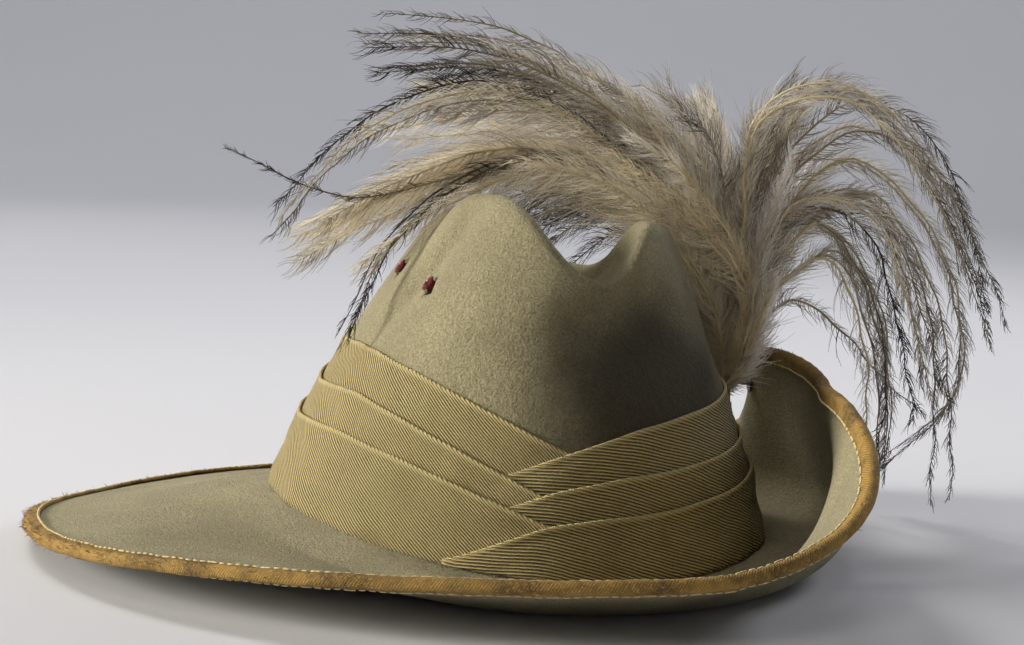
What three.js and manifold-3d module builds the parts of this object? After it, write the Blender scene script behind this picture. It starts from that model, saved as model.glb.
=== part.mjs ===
// Slouch hat, in millimetres, +Z up.
// The front of the hat faces -Y, and the turned-up side of the brim is on +X.
// The hat lies on its brim, so the crown leans a little towards the turned-up side.
import * as THREE from 'three';
import Module from 'manifold-3d';
import { mergeVertices } from 'three/addons/utils/BufferGeometryUtils.js';

// ---------------------------------------------------------------- driving dimensions

const SEGMENTS = 60;
const DEG = Math.PI / 180;

// Head opening: the line where the crown meets the brim.
const HEAD_HALF_WIDTH = 84;
const HEAD_HALF_LENGTH = 101;
const HEAD_DIP = 6;
const LEAN_SIDEWAYS = 3.4;
const LEAN_FORWARDS = 1.5;
const HEAD_LIFT = 14;

// Felt.
const FELT = 2;
const LEAD = 18.9;
const FOLD_RADIUS = 12.3;
const BRIM_WIDTH = 85.8;
const BREAK_FILLET = 3.5;

// Crown walls: inward lean at the base and how much the lean grows with height.
const WALL_RIGHT = { lean: 0.28, round: 0.0021 };
const WALL_LEFT = { lean: 0.281, round: 0.0012 };
const WALL_FRONT = { lean: 0.13, round: 0.0012 };
const WALL_BACK = { lean: 0.24, round: 0.002 };

// Crown top: two fore-and-aft ridges with the crease between them.
const RIDGE_RIGHT = 110.8;
const RIDGE_LEFT = 106.1;
const RIDGE_SPREAD_RIGHT = 36;
const RIDGE_SPREAD_LEFT = 13.9;
const RIDGE_WIDENING = 0.134;
const RIDGE_FALL_FROM = -50;
const RIDGE_FALL_FRONT = 3.1;
const RIDGE_FALL_BACK = 8.7;
const CREASE_OFFSET = 13.1;
const CREASE_MIDDLE = 81.4;
const CREASE_FRONT = 4.8;
const CREASE_BACK = 3;
const CREASE_SHAPE = 1.39;
const EDGE_SOFTNESS = 2.4;

// Dents pressed into the crown walls. at: degrees round the crown, slant: degrees a millimetre of
// height, rise: height of the middle, deep: millimetres, wide: half-width in degrees, tall: half-height.
const DENTS = [
  { name: 'front_pinch', at: -78, slant: 0, rise: 72, deep: 9, wide: 17, tall: 17 },
  { name: 'right_groove', at: -144, slant: 0.72, rise: 84, deep: 4.5, wide: 6.5, tall: 26 },
  { name: 'left_side', at: -30, slant: -0.6, rise: 84, deep: 3, wide: 9, tall: 22 },
];

// Brim sections. at: degrees round the head opening from +X, start: slope where the brim leaves
// the crown, turn: slope that it ends at, both in degrees above level.
const BRIM_ROWS = [
  { at: -180, start: -7.5, turn: -7.6 },
  { at: -165, start: -8.5, turn: -5.1 },
  { at: -150, start: -9.7, turn: -0.5 },
  { at: -135, start: -11.5, turn: 5.6 },
  { at: -120, start: -13.7, turn: 11.4 },
  { at: -105, start: -14.4, turn: 16.0 },
  { at: -90, start: -13.6, turn: 18.3 },
  { at: -75, start: -12.0, turn: 21.0 },
  { at: -60, start: -9.9, turn: 37.0 },
  { at: -45, start: -7.1, turn: 75.9 },
  { at: -30, start: -5.1, turn: 98.6 },
  { at: -15, start: -4.5, turn: 104.5 },
  { at: 0, start: -4.3, turn: 103.9 },
  { at: 15, start: -4.8, turn: 98.9 },
  { at: 30, start: -4.1, turn: 91.0 },
  { at: 45, start: -9.2, turn: 31.0 },
  { at: 60, start: -11.5, turn: 3.0 },
  { at: 75, start: -12.5, turn: -5.0 },
  { at: 90, start: -14.0, turn: -3.8 },
  { at: 105, start: -13.0, turn: -6.0 },
  { at: 120, start: -12.3, turn: -7.4 },
  { at: 135, start: -11.4, turn: -9.6 },
  { at: 150, start: -10.0, turn: -10.8 },
  { at: 165, start: -8.2, turn: -9.9 },
];

// Ribbon bound round the brim's edge.
const RIBBON_WIDE = 8.5;
const RIBBON = 0.8;
const GAP = 0.3;

// Puggaree: rise of its top edge at the sides and at the front and back, and its three folds.
const BAND_SIDE_RISE = 55;
const BAND_FRONT_RISE = 41;
const BAND_FOOT = 0.8;
const BAND_STEPS = [
  { fold: 'lower', top: 0.44, thick: 3.4 },
  { fold: 'middle', top: 0.71, thick: 2.4 },
  { fold: 'upper', top: 1, thick: 1.4 },
];

// Plume: the bound quills stand behind the puggaree's upper edge, and each lock leaves their head.
const QUILL_FOOT = [82, 33, 33];
const QUILL_HEAD = [80.8, 31, 52];
const QUILL_RADIUS = 4;
const LOCK_STEPS = 7;
const LOCK_FLATNESS = 0.4;
// wide: greatest width, via: the points each lock passes through after the head.
const LOCKS = [
  { name: 'top_left', wide: 20,
    via: [[76, 23, 94], [57, 12, 133], [21, -1, 160], [-19, -14, 173], [-61, -30, 173]] },
  { name: 'crest', wide: 13,
    via: [[81, 31, 94], [65, 32, 134], [34, 33, 164], [-5, 36, 181], [-47, 38, 185]] },
  { name: 'middle_left', wide: 18,
    via: [[70, 23, 100], [35, 11, 138], [-12, -4, 155], [-59, -20, 142], [-91, -38, 111]] },
  { name: 'cream_left', wide: 17,
    via: [[73, 26, 92], [47, 21, 126], [3, 14, 140], [-36, 7, 132], [-72, 0, 111]] },
  { name: 'long_strand', wide: 8,
    via: [[69, 23, 98], [31, 13, 129], [-18, 1, 134], [-63, -11, 124], [-106, -26, 138]] },
  { name: 'falling_left', wide: 8,
    via: [[71, 23, 95], [38, 14, 127], [-6, 0, 135], [-48, -14, 114], [-69, -28, 78]] },
  { name: 'over_crown', wide: 18,
    via: [[75, 30, 85], [57, 30, 116], [31, 31, 138], [-2, 33, 144], [-33, 34, 138]] },
  { name: 'high_left', wide: 22,
    via: [[77, 28, 87], [64, 26, 122], [38, 23, 149], [3, 19, 158], [-33, 16, 158]] },
  { name: 'wisp_left', wide: 17,
    via: [[81, 28, 79], [75, 23, 106], [67, 17, 133], [55, 10, 158], [34, 2, 176]] },
  { name: 'wisp', wide: 14,
    via: [[85, 31, 76], [83, 34, 101], [81, 37, 126], [75, 42, 150], [67, 45, 173]] },
  { name: 'behind_low', wide: 15,
    via: [[80, 40, 76], [74, 56, 98], [60, 72, 119], [38, 88, 122], [18, 102, 103]] },
  { name: 'behind_high', wide: 14,
    via: [[80, 38, 80], [70, 46, 106], [55, 58, 130], [30, 70, 140], [6, 84, 136]] },
  { name: 'outer_fall', wide: 11,
    via: [[85, 25, 102], [87, 18, 153], [115, 9, 165], [143, -1, 136], [157, -12, 86]] },
  { name: 'gold_bow', wide: 15,
    via: [[88, 32, 89], [98, 36, 127], [124, 40, 152], [151, 44, 138], [166, 49, 103]] },
  { name: 'inner_fall', wide: 13,
    via: [[89, 27, 87], [102, 23, 120], [126, 18, 115], [136, 12, 81], [140, 5, 48]] },
  { name: 'loop', wide: 12,
    via: [[93, 35, 102], [124, 43, 139], [157, 52, 107], [167, 63, 56], [149, 75, 23]] },
  { name: 'low_tips', wide: 10,
    via: [[96, 36, 85], [121, 45, 103], [138, 56, 71], [146, 68, 39], [148, 81, 16]] },
  { name: 'down_vane', wide: 18,
    via: [[90, 35, 68], [94, 42, 85], [101, 50, 100], [112, 60, 117], [126, 71, 131]] },
  { name: 'striped_vane', wide: 18,
    via: [[84, 26, 67], [87, 20, 84], [87, 13, 102], [89, 4, 118], [93, -5, 133]] },
  { name: 'peak', wide: 19,
    via: [[86, 31, 77], [87, 32, 104], [91, 34, 130], [99, 36, 156], [115, 38, 176]] },
];

// Hidden hook from the crown's side to the turned-up flap.
const HOOK_AT = 29;
const HOOK_RISE = 66;
const HOOK_FLAP = 72;
const HOOK_WIRE = 1.3;
const HOOK_PLATE = 4;

// Vent eyelets. at: degrees round the crown, rise: height above the head line, seat: height of
// the flange over the felt, more where the felt is hollow.
const EYELETS = [
  { name: 'vent_eyelet_front', at: -139, rise: 81, seat: 1 },
  { name: 'vent_eyelet_rear', at: 184, rise: 81, seat: 0.6 },
];
const EYELET_FLANGE = 2.9;
const EYELET_BARREL = 2;
const EYELET_BORE = 1.3;

// ---------------------------------------------------------------- small helpers

function smoothRow(rows, key, degrees) {
  // Periodic cubic through the rows of an evenly spaced table.
  const step = 360 / rows.length;
  const place = (((degrees - rows[0].at) / step) % rows.length + rows.length) % rows.length;
  const i = Math.floor(place);
  const t = place - i;
  const value = (k) => rows[(i + k + rows.length) % rows.length][key];
  const p0 = value(-1);
  const p1 = value(0);
  const p2 = value(1);
  const p3 = value(2);
  const a = 2 * p0 - 5 * p1 + 4 * p2 - p3;
  const b = -p0 + 3 * p1 - 3 * p2 + p3;
  return p1 + 0.5 * t * (p2 - p0 + t * (a + t * b));
}

function mix(a, b, t) {
  return a + (b - a) * t;
}

function leanOver(p) {
  // The crown leans with the head line, and is then lifted to its height.
  const pitch = LEAN_FORWARDS * DEG;
  const roll = LEAN_SIDEWAYS * DEG;
  const y = p.y * Math.cos(pitch) - p.z * Math.sin(pitch);
  const z = p.y * Math.sin(pitch) + p.z * Math.cos(pitch);
  const x = p.x * Math.cos(roll) + z * Math.sin(roll);
  return new THREE.Vector3(x, y, -p.x * Math.sin(roll) + z * Math.cos(roll) + HEAD_LIFT);
}

function outward(angle) {
  const n = new THREE.Vector3(
    Math.cos(angle) / HEAD_HALF_WIDTH, Math.sin(angle) / HEAD_HALF_LENGTH, 0);
  return n.normalize();
}

function geometryOf(vertices, faces) {
  const geometry = new THREE.BufferGeometry();
  const flat = new Float32Array(vertices.length * 3);
  vertices.forEach((v, i) => {
    flat[3 * i] = v.x;
    flat[3 * i + 1] = v.y;
    flat[3 * i + 2] = v.z;
  });
  geometry.setAttribute('position', new THREE.BufferAttribute(flat, 3));
  geometry.setIndex(faces);
  return geometry;
}

function loopSolid(loops) {
  // A solid ring: each loop is one closed cross-section, and the last joins the first.
  const count = loops[0].length;
  const vertices = loops.flat();
  const faces = [];
  for (let j = 0; j < loops.length; j += 1) {
    const next = ((j + 1) % loops.length) * count;
    for (let i = 0; i < count; i += 1) {
      const a = j * count + i;
      const b = j * count + (i + 1) % count;
      const c = next + (i + 1) % count;
      const d = next + i;
      faces.push(a, b, d, b, c, d);
    }
  }
  return geometryOf(vertices, faces);
}

function sweptSolid(sections) {
  // A solid with two ends: the sections run from one end to the other.
  const count = sections[0].length;
  const vertices = sections.flat();
  const faces = [];
  for (let j = 0; j + 1 < sections.length; j += 1) {
    for (let i = 0; i < count; i += 1) {
      const a = j * count + i;
      const b = j * count + (i + 1) % count;
      faces.push(a, b, b + count, a, b + count, a + count);
    }
  }
  const last = (sections.length - 1) * count;
  for (let i = 1; i + 1 < count; i += 1) {
    faces.push(0, i + 1, i, last, last + i, last + i + 1);
  }
  return geometryOf(vertices, faces);
}

// ---------------------------------------------------------------- crown

function wallAt(angle) {
  const side = (1 + Math.cos(angle)) / 2;
  const front = (1 - Math.sin(angle)) / 2;
  const w = Math.cos(angle) ** 2;
  const lean = mix(
    mix(WALL_BACK.lean, WALL_FRONT.lean, front), mix(WALL_RIGHT.lean, WALL_LEFT.lean, side), w);
  const round = mix(
    mix(WALL_BACK.round, WALL_FRONT.round, front), mix(WALL_RIGHT.round, WALL_LEFT.round, side), w);
  const support = 1 / Math.hypot(
    Math.cos(angle) / HEAD_HALF_WIDTH, Math.sin(angle) / HEAD_HALF_LENGTH);
  return { lean, round, support };
}

function inwardAt(angle, rise) {
  // How far in towards the crown's middle, from 0 at the head line to 1, the wall is at this rise.
  const wall = wallAt(angle);
  return (wall.lean * rise + wall.round * rise * rise) / wall.support;
}

function topHeight(x, y) {
  const across = x - CREASE_OFFSET;
  const left = 1 / (1 + Math.exp(-across / 5));
  const along = y - RIDGE_FALL_FROM;
  const fall = along < 0 ? RIDGE_FALL_FRONT : RIDGE_FALL_BACK;
  const ridge = mix(RIDGE_RIGHT, RIDGE_LEFT, left) - fall * (along / 60) ** 2;
  const crease = CREASE_MIDDLE + (y < 0 ? CREASE_FRONT : CREASE_BACK) * (y / 70) ** 2;
  const narrow = Math.max(RIDGE_SPREAD_LEFT + RIDGE_WIDENING * along, 8);
  const spread = Math.min(Math.abs(across) / (across < 0 ? RIDGE_SPREAD_RIGHT : narrow), 1);
  return crease + (ridge - crease) * (0.5 - 0.5 * Math.cos(Math.PI * spread ** CREASE_SHAPE));
}

function dentAt(angle, rise) {
  let deep = 0;
  for (const dent of DENTS) {
    const middle = dent.at + dent.slant * (rise - dent.rise);
    const turn = ((angle / DEG - middle) % 360 + 540) % 360 - 180;
    deep += dent.deep * Math.exp(-((turn / dent.wide) ** 2) - ((rise - dent.rise) / dent.tall) ** 2);
  }
  return deep;
}

function crownPoint(angle, inward) {
  const wall = wallAt(angle);
  const x = HEAD_HALF_WIDTH * Math.cos(angle) * (1 - inward);
  const y = HEAD_HALF_LENGTH * Math.sin(angle) * (1 - inward);
  const deep = Math.max(inward * wall.support, 0);
  const root = Math.sqrt(wall.lean ** 2 + 4 * wall.round * deep);
  const dip = HEAD_DIP * Math.sin(angle) ** 2 * (1 - inward);
  const side = (root - wall.lean) / (2 * wall.round) - dip;
  const top = topHeight(x, y);
  const low = Math.min(side, top);
  const sum = Math.exp((low - side) / EDGE_SOFTNESS) + Math.exp((low - top) / EDGE_SOFTNESS);
  const z = low - EDGE_SOFTNESS * Math.log(sum);
  const point = new THREE.Vector3(x, y, z);
  const fade = Math.min(1, 3 * (1 - inward));
  point.addScaledVector(outward(angle), -dentAt(angle, z) * fade);
  return leanOver(point);
}

// ---------------------------------------------------------------- brim

function brimSection(angle) {
  // Slope and place of the brim's middle line, worked out as lead, fold and straight outer part.
  const start = smoothRow(BRIM_ROWS, 'start', angle / DEG) * DEG;
  const turn = smoothRow(BRIM_ROWS, 'turn', angle / DEG) * DEG;
  const bend = turn - start;
  const arc = Math.abs(bend) * FOLD_RADIUS;
  const lead = Math.min(LEAD, Math.max(0, (BRIM_WIDTH - arc) / 2));
  return { start, turn, bend, arc, lead, sign: Math.sign(bend) || 1 };
}

function brimPoint(angle, travel) {
  const s = brimSection(angle);
  const ring = leanOver(new THREE.Vector3(
    HEAD_HALF_WIDTH * Math.cos(angle),
    HEAD_HALF_LENGTH * Math.sin(angle),
    -HEAD_DIP * Math.sin(angle) ** 2,
  ));
  const straight = Math.min(travel, s.lead);
  let out = straight * Math.cos(s.start);
  let up = straight * Math.sin(s.start);
  if (travel > s.lead && s.arc > 0) {
    const part = Math.min((travel - s.lead) / s.arc, 1);
    const slope = s.start + s.bend * part;
    out += FOLD_RADIUS * s.sign * (Math.sin(slope) - Math.sin(s.start));
    up += FOLD_RADIUS * s.sign * (Math.cos(s.start) - Math.cos(slope));
  }
  const rest = Math.max(0, travel - s.lead - s.arc);
  out += rest * Math.cos(s.turn);
  up += rest * Math.sin(s.turn);
  const point = ring.addScaledVector(outward(angle), out);
  point.z += up;
  const hem = FELT / 2 + GAP + RIBBON;
  const near = Math.min(1, Math.max(0, (travel - BRIM_WIDTH + 2 * RIBBON_WIDE) / RIBBON_WIDE));
  point.z = Math.max(point.z, mix(FELT / 2 - 0.05, hem, near));
  return point;
}

// ---------------------------------------------------------------- felt body

const WALL_RISES = [BREAK_FILLET, 16, 30, 44, 58, 70];
const TOP_STEPS = 13;
const FINE_STEPS = 160;
const FLAT_STEPS = 3;
const FOLD_STEPS = 4;

function meridian(angle) {
  // Middle line of the felt from the crown's centre down the wall and out to the brim's edge.
  const points = [];
  const shoulder = inwardAt(angle, WALL_RISES[WALL_RISES.length - 1]);
  const fine = [];
  for (let k = 0; k <= FINE_STEPS; k += 1) {
    fine.push(crownPoint(angle, mix(1, shoulder, k / FINE_STEPS)));
  }
  const travel = [0];
  for (let k = 1; k <= FINE_STEPS; k += 1) {
    travel.push(travel[k - 1] + fine[k].distanceTo(fine[k - 1]));
  }
  let at = 0;
  for (let k = 0; k < TOP_STEPS; k += 1) {
    const goal = travel[FINE_STEPS] * k / TOP_STEPS;
    while (travel[at + 1] < goal) {
      at += 1;
    }
    const part = (goal - travel[at]) / (travel[at + 1] - travel[at]);
    points.push(fine[at].clone().lerp(fine[at + 1], part));
  }
  for (let k = WALL_RISES.length - 1; k >= 0; k -= 1) {
    points.push(crownPoint(angle, inwardAt(angle, WALL_RISES[k])));
  }
  const ring = brimPoint(angle, 0);
  const foot = points[points.length - 1];
  const toe = brimPoint(angle, BREAK_FILLET);
  const corner = ring.clone().multiplyScalar(0.5);
  corner.addScaledVector(foot, 0.25);
  corner.addScaledVector(toe, 0.25);
  points.push(corner, toe);
  const s = brimSection(angle);
  const hem = BRIM_WIDTH - RIBBON_WIDE;
  points.push(brimPoint(angle, mix(BREAK_FILLET, s.lead, 0.55)));
  for (let k = 0; k <= FOLD_STEPS; k += 1) {
    points.push(brimPoint(angle, s.lead + s.arc * k / FOLD_STEPS));
  }
  const flat = s.lead + s.arc;
  for (let k = 1; k < FLAT_STEPS; k += 1) {
    points.push(brimPoint(angle, mix(flat, hem, k / FLAT_STEPS)));
  }
  points.push(brimPoint(angle, hem));
  points.push(brimPoint(angle, BRIM_WIDTH));
  return points;
}

function makeSkin() {
  // Grid of the felt's middle surface with its normals: skin.p[j][i] and skin.n[j][i].
  const p = [];
  for (let j = 0; j < SEGMENTS; j += 1) {
    p.push(meridian(-Math.PI + 2 * Math.PI * j / SEGMENTS));
  }
  const rows = p[0].length;
  const n = p.map((line, j) => line.map((point, i) => {
    const before = p[(j + SEGMENTS - 1) % SEGMENTS][i];
    const after = p[(j + 1) % SEGMENTS][i];
    const round = after.clone().sub(before);
    const down = line[Math.min(i + 1, rows - 1)].clone().sub(line[Math.max(i - 1, 0)]);
    return down.cross(round).normalize();
  }));
  const middle = new THREE.Vector3();
  n.forEach((line) => middle.add(line[1]));
  n.forEach((line) => line[0].copy(middle).normalize());
  return { p, n, rows };
}

const skin = makeSkin();

// The same lines half-way between, which tell how each four-sided patch is best split.
const between = skin.p.map((line, j) => meridian(-Math.PI + 2 * Math.PI * (j + 0.5) / SEGMENTS));

function splitsAcross(j, near, far) {
  // True where a crown patch lies closer to the surface with its other diagonal.
  const k = (j + 1) % SEGMENTS;
  const low = Math.min(near, far);
  const high = Math.max(near, far);
  if (high > TOP_STEPS) {
    return false;
  }
  const middle = between[j][low].clone().lerp(between[j][high], 0.5);
  if (high - low === 2) {
    middle.copy(between[j][low + 1]);
  }
  const straight = skin.p[j][near].clone().lerp(skin.p[k][far], 0.5);
  const crossed = skin.p[k][near].clone().lerp(skin.p[j][far], 0.5);
  return crossed.distanceTo(middle) < straight.distanceTo(middle);
}

function feltGeometry() {
  const vertices = [];
  const faces = [];
  const place = (j, i, side) => {
    const point = skin.p[j][i].clone().addScaledVector(skin.n[j][i], side * FELT / 2);
    point.z = Math.max(point.z, 0);
    return point;
  };
  const inner = [];
  for (let i = 0; i < skin.rows; i += 1) {
    if (i > TOP_STEPS + 6 || i % 2 === 0) {
      inner.push(i);
    }
  }
  const outer = Array.from({ length: skin.rows }, (_, i) => i);
  const addRows = (list, side) => list.map((i) => {
    const first = vertices.length;
    if (i === 0) {
      vertices.push(place(0, 0, side));
      return { first, row: i, single: true };
    }
    for (let j = 0; j < SEGMENTS; j += 1) {
      vertices.push(place(j, i, side));
    }
    return { first, row: i, single: false };
  });
  const rings = [...addRows(outer, 1), ...addRows(inner, -1).reverse()];
  for (let r = 0; r + 1 < rings.length; r += 1) {
    const a = rings[r];
    const b = rings[r + 1];
    for (let j = 0; j < SEGMENTS; j += 1) {
      const k = (j + 1) % SEGMENTS;
      if (!a.single && !b.single && splitsAcross(j, a.row, b.row)) {
        faces.push(a.first + j, b.first + j, a.first + k, b.first + j, b.first + k, a.first + k);
      } else if (!a.single && !b.single) {
        faces.push(a.first + j, b.first + j, b.first + k, a.first + j, b.first + k, a.first + k);
      } else if (a.single) {
        faces.push(a.first, b.first + j, b.first + k);
      } else {
        faces.push(a.first + j, b.first, a.first + k);
      }
    }
  }
  return geometryOf(vertices, faces);
}

// ---------------------------------------------------------------- brim binding

function bindingGeometry() {
  const last = skin.rows - 1;
  const inside = FELT / 2 + GAP;
  const outside = inside + RIBBON;
  const loops = skin.p.map((line, j) => {
    const edge = line[last];
    const hem = line[last - 1];
    const out = edge.clone().sub(hem).normalize();
    const at = (base, normal, up, ahead) => {
      const point = base.clone().addScaledVector(normal, up).addScaledVector(out, ahead);
      point.z = Math.max(point.z, 0);
      return point;
    };
    const nEdge = skin.n[j][last];
    const nHem = skin.n[j][last - 1];
    return [
      at(hem, nHem, inside, 0.5),
      at(hem, nHem, outside, 0.5),
      at(edge, nEdge, outside, 0),
      at(edge, nEdge, 0, GAP + 1.4 * RIBBON),
      at(edge, nEdge, -outside, 0),
      at(hem, nHem, -outside, 0.5),
      at(hem, nHem, -inside, 0.5),
      at(edge, nEdge, -inside, GAP),
      at(edge, nEdge, inside, GAP),
    ];
  });
  return loopSolid(loops);
}

// ---------------------------------------------------------------- puggaree

function wallSurface(angle, rise, away) {
  // A point off the outer wall of the crown at this rise, and this far from the felt's middle.
  const wall = wallAt(angle);
  const inward = inwardAt(angle, rise);
  const slope = Math.atan(wall.lean + 2 * wall.round * rise);
  const point = new THREE.Vector3(
    HEAD_HALF_WIDTH * Math.cos(angle) * (1 - inward),
    HEAD_HALF_LENGTH * Math.sin(angle) * (1 - inward),
    rise - HEAD_DIP * Math.sin(angle) ** 2 * (1 - inward),
  );
  point.addScaledVector(outward(angle), away * Math.cos(slope) - dentAt(angle, rise));
  point.z += away * Math.sin(slope);
  return leanOver(point);
}

function bandRise(angle) {
  // The folds run down to the crossings at the front and back.
  return mix(BAND_FRONT_RISE, BAND_SIDE_RISE, Math.abs(Math.cos(angle)) ** 0.85);
}

function puggareeGeometry() {
  const base = FELT / 2 + GAP + 0.4;
  const loops = [];
  for (let j = 0; j < SEGMENTS; j += 1) {
    const angle = -Math.PI + 2 * Math.PI * j / SEGMENTS;
    const top = bandRise(angle);
    const loop = [];
    loop.push(wallSurface(angle, top, base));
    for (const share of [0.75, 0.5, 0.25]) {
      loop.push(wallSurface(angle, top * share, base));
    }
    loop.push(wallSurface(angle, BREAK_FILLET + 1.2, base + 0.15));
    let from = BAND_FOOT;
    for (const step of BAND_STEPS) {
      loop.push(wallSurface(angle, from, base + step.thick));
      loop.push(wallSurface(angle, top * step.top, base + step.thick - 0.2));
      from = top * step.top + 0.4;
    }
    loops.push(loop.reverse());
  }
  return loopSolid(loops);
}

// ---------------------------------------------------------------- plume

function lockSections(lock) {
  // Four-sided sections along the lock, wide across its own plane and thinner through it.
  const points = [QUILL_HEAD, ...lock.via].map((row) => new THREE.Vector3(...row));
  const curve = new THREE.CatmullRomCurve3(points, false, 'catmullrom', 0.5);
  const spine = curve.getSpacedPoints(LOCK_STEPS);
  const ahead = points[points.length - 1].clone().sub(points[0]).setZ(0);
  const through = new THREE.Vector3(-ahead.y, ahead.x, 0).normalize();
  if (through.y < 0) {
    through.negate();
  }
  spine[0].z -= 4;
  return spine.map((point, k) => {
    const t = k / LOCK_STEPS;
    const before = spine[Math.max(k - 1, 0)];
    const along = spine[Math.min(k + 1, LOCK_STEPS)].clone().sub(before).normalize();
    const across = along.clone().cross(through).normalize();
    const deep = across.clone().cross(along).normalize();
    const half = 1.1 + 0.5 * (lock.wide - 2.2) * Math.sin(Math.PI * Math.min(1, 0.03 + 0.9 * t));
    const thin = 1 + (half - 1.1) * LOCK_FLATNESS;
    return [
      point.clone().addScaledVector(deep, thin),
      point.clone().addScaledVector(across, half),
      point.clone().addScaledVector(deep, -thin),
      point.clone().addScaledVector(across, -half),
    ];
  });
}

function quillSections() {
  const foot = new THREE.Vector3(...QUILL_FOOT);
  const head = new THREE.Vector3(...QUILL_HEAD);
  const along = head.clone().sub(foot).normalize();
  const across = new THREE.Vector3(0, 1, 0);
  const side = across.clone().cross(along).normalize();
  const swell = [[-0.02, 0.4], [0.03, 0.85], [0.3, 1], [0.7, 1], [0.92, 1.1], [1.02, 0.7]];
  return swell.map(([t, size]) => {
    const centre = foot.clone().lerp(head, t);
    const ring = [];
    for (let k = 0; k < 8; k += 1) {
      const a = 2 * Math.PI * k / 8;
      const point = centre.clone().addScaledVector(side, QUILL_RADIUS * size * Math.cos(a));
      ring.push(point.addScaledVector(across, QUILL_RADIUS * size * Math.sin(a)));
    }
    return ring;
  });
}

// ---------------------------------------------------------------- joining and cutting

const wasm = await Module();
wasm.setup();

function toSolid(geometry) {
  const bare = geometry.clone();
  bare.deleteAttribute('normal');
  bare.deleteAttribute('uv');
  const merged = mergeVertices(bare, 1e-4);
  return new wasm.Manifold(new wasm.Mesh({
    numProp: 3,
    vertProperties: Float32Array.from(merged.attributes.position.array),
    triVerts: Uint32Array.from(merged.index.array),
  }));
}

function toGeometry(solid) {
  const mesh = solid.getMesh();
  const geometry = new THREE.BufferGeometry();
  geometry.setAttribute('position', new THREE.BufferAttribute(mesh.vertProperties, 3));
  geometry.setIndex(new THREE.BufferAttribute(mesh.triVerts, 1));
  return geometry;
}

function plumeGeometry() {
  let solid = toSolid(sweptSolid(quillSections()));
  for (const lock of LOCKS) {
    solid = solid.add(toSolid(sweptSolid(lockSections(lock))));
  }
  return toGeometry(solid);
}

// ---------------------------------------------------------------- eyelets

function eyeletFrame(eyelet) {
  const angle = eyelet.at * DEG;
  const step = 0.01;
  const centre = crownPoint(angle, inwardAt(angle, eyelet.rise));
  const round = crownPoint(angle + step, inwardAt(angle + step, eyelet.rise)).sub(centre);
  const up = crownPoint(angle, inwardAt(angle, eyelet.rise + 1)).sub(centre);
  const normal = round.cross(up).normalize();
  return { centre, normal };
}

function placeOnWall(geometry, frame) {
  const turn = new THREE.Quaternion().setFromUnitVectors(new THREE.Vector3(0, 1, 0), frame.normal);
  geometry.applyQuaternion(turn);
  geometry.translate(frame.centre.x, frame.centre.y, frame.centre.z);
  return geometry;
}

function eyeletGeometry(eyelet) {
  const low = -FELT / 2 - 0.6;
  const face = FELT / 2 + eyelet.seat;
  const profile = [
    new THREE.Vector2(EYELET_BORE, low),
    new THREE.Vector2(EYELET_BARREL, low),
    new THREE.Vector2(EYELET_BARREL, face),
    new THREE.Vector2(EYELET_FLANGE, face),
    new THREE.Vector2(EYELET_FLANGE - 0.3, face + 0.6),
    new THREE.Vector2(EYELET_BARREL - 0.2, face + 0.8),
    new THREE.Vector2(EYELET_BORE, face + 0.4),
    new THREE.Vector2(EYELET_BORE, low),
  ];
  return placeOnWall(new THREE.LatheGeometry(profile, 12), eyeletFrame(eyelet));
}

function holeGeometry(eyelet) {
  return placeOnWall(
    new THREE.CylinderGeometry(EYELET_BARREL + GAP, EYELET_BARREL + GAP, 16, 12), eyeletFrame(eyelet));
}

function feltWithVents() {
  let solid = toSolid(feltGeometry());
  for (const eyelet of EYELETS) {
    solid = solid.subtract(toSolid(holeGeometry(eyelet)));
  }
  return toGeometry(solid);
}

// ---------------------------------------------------------------- flap hook

function hookGeometry() {
  // A wire between two small plates, one on the crown's side and one on the flap's inner face.
  const angle = HOOK_AT * DEG;
  const step = 0.01;
  const wall = wallSurface(angle, HOOK_RISE, 0);
  const wallRound = wallSurface(angle + step, HOOK_RISE, 0).sub(wall);
  const wallUp = wallSurface(angle, HOOK_RISE + 1, 0).sub(wall);
  const wallNormal = wallRound.cross(wallUp).normalize();
  const flap = brimPoint(angle, HOOK_FLAP);
  const flapRound = brimPoint(angle + step, HOOK_FLAP).sub(flap);
  const flapUp = brimPoint(angle, HOOK_FLAP + 1).sub(flap);
  const flapNormal = flapUp.cross(flapRound).normalize();
  const seat = FELT / 2 + GAP;
  const start = wall.clone().addScaledVector(wallNormal, 4);
  const end = flap.clone().addScaledVector(flapNormal, 4);
  const run = end.clone().sub(start).normalize();
  const back = flapNormal.clone().negate();
  const ring = (centre, normal, radius) => {
    const side = new THREE.Vector3(0, 1, 0).cross(normal).normalize();
    const other = normal.clone().cross(side);
    const points = [];
    for (let k = 0; k < 10; k += 1) {
      const a = 2 * Math.PI * k / 10;
      const point = centre.clone().addScaledVector(side, radius * Math.cos(a));
      points.push(point.addScaledVector(other, radius * Math.sin(a)));
    }
    return points;
  };
  return sweptSolid([
    ring(wall.clone().addScaledVector(wallNormal, seat), wallNormal, HOOK_PLATE),
    ring(wall.clone().addScaledVector(wallNormal, seat + 0.8), wallNormal, HOOK_PLATE),
    ring(wall.clone().addScaledVector(wallNormal, seat + 1), wallNormal, HOOK_WIRE),
    ring(start, run, HOOK_WIRE),
    ring(end, run, HOOK_WIRE),
    ring(flap.clone().addScaledVector(flapNormal, seat + 1), back, HOOK_WIRE),
    ring(flap.clone().addScaledVector(flapNormal, seat + 0.8), back, HOOK_PLATE),
    ring(flap.clone().addScaledVector(flapNormal, seat), back, HOOK_PLATE),
  ]);
}

// ---------------------------------------------------------------- the hat

const group = new THREE.Group();
group.name = 'slouch_hat';

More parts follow.
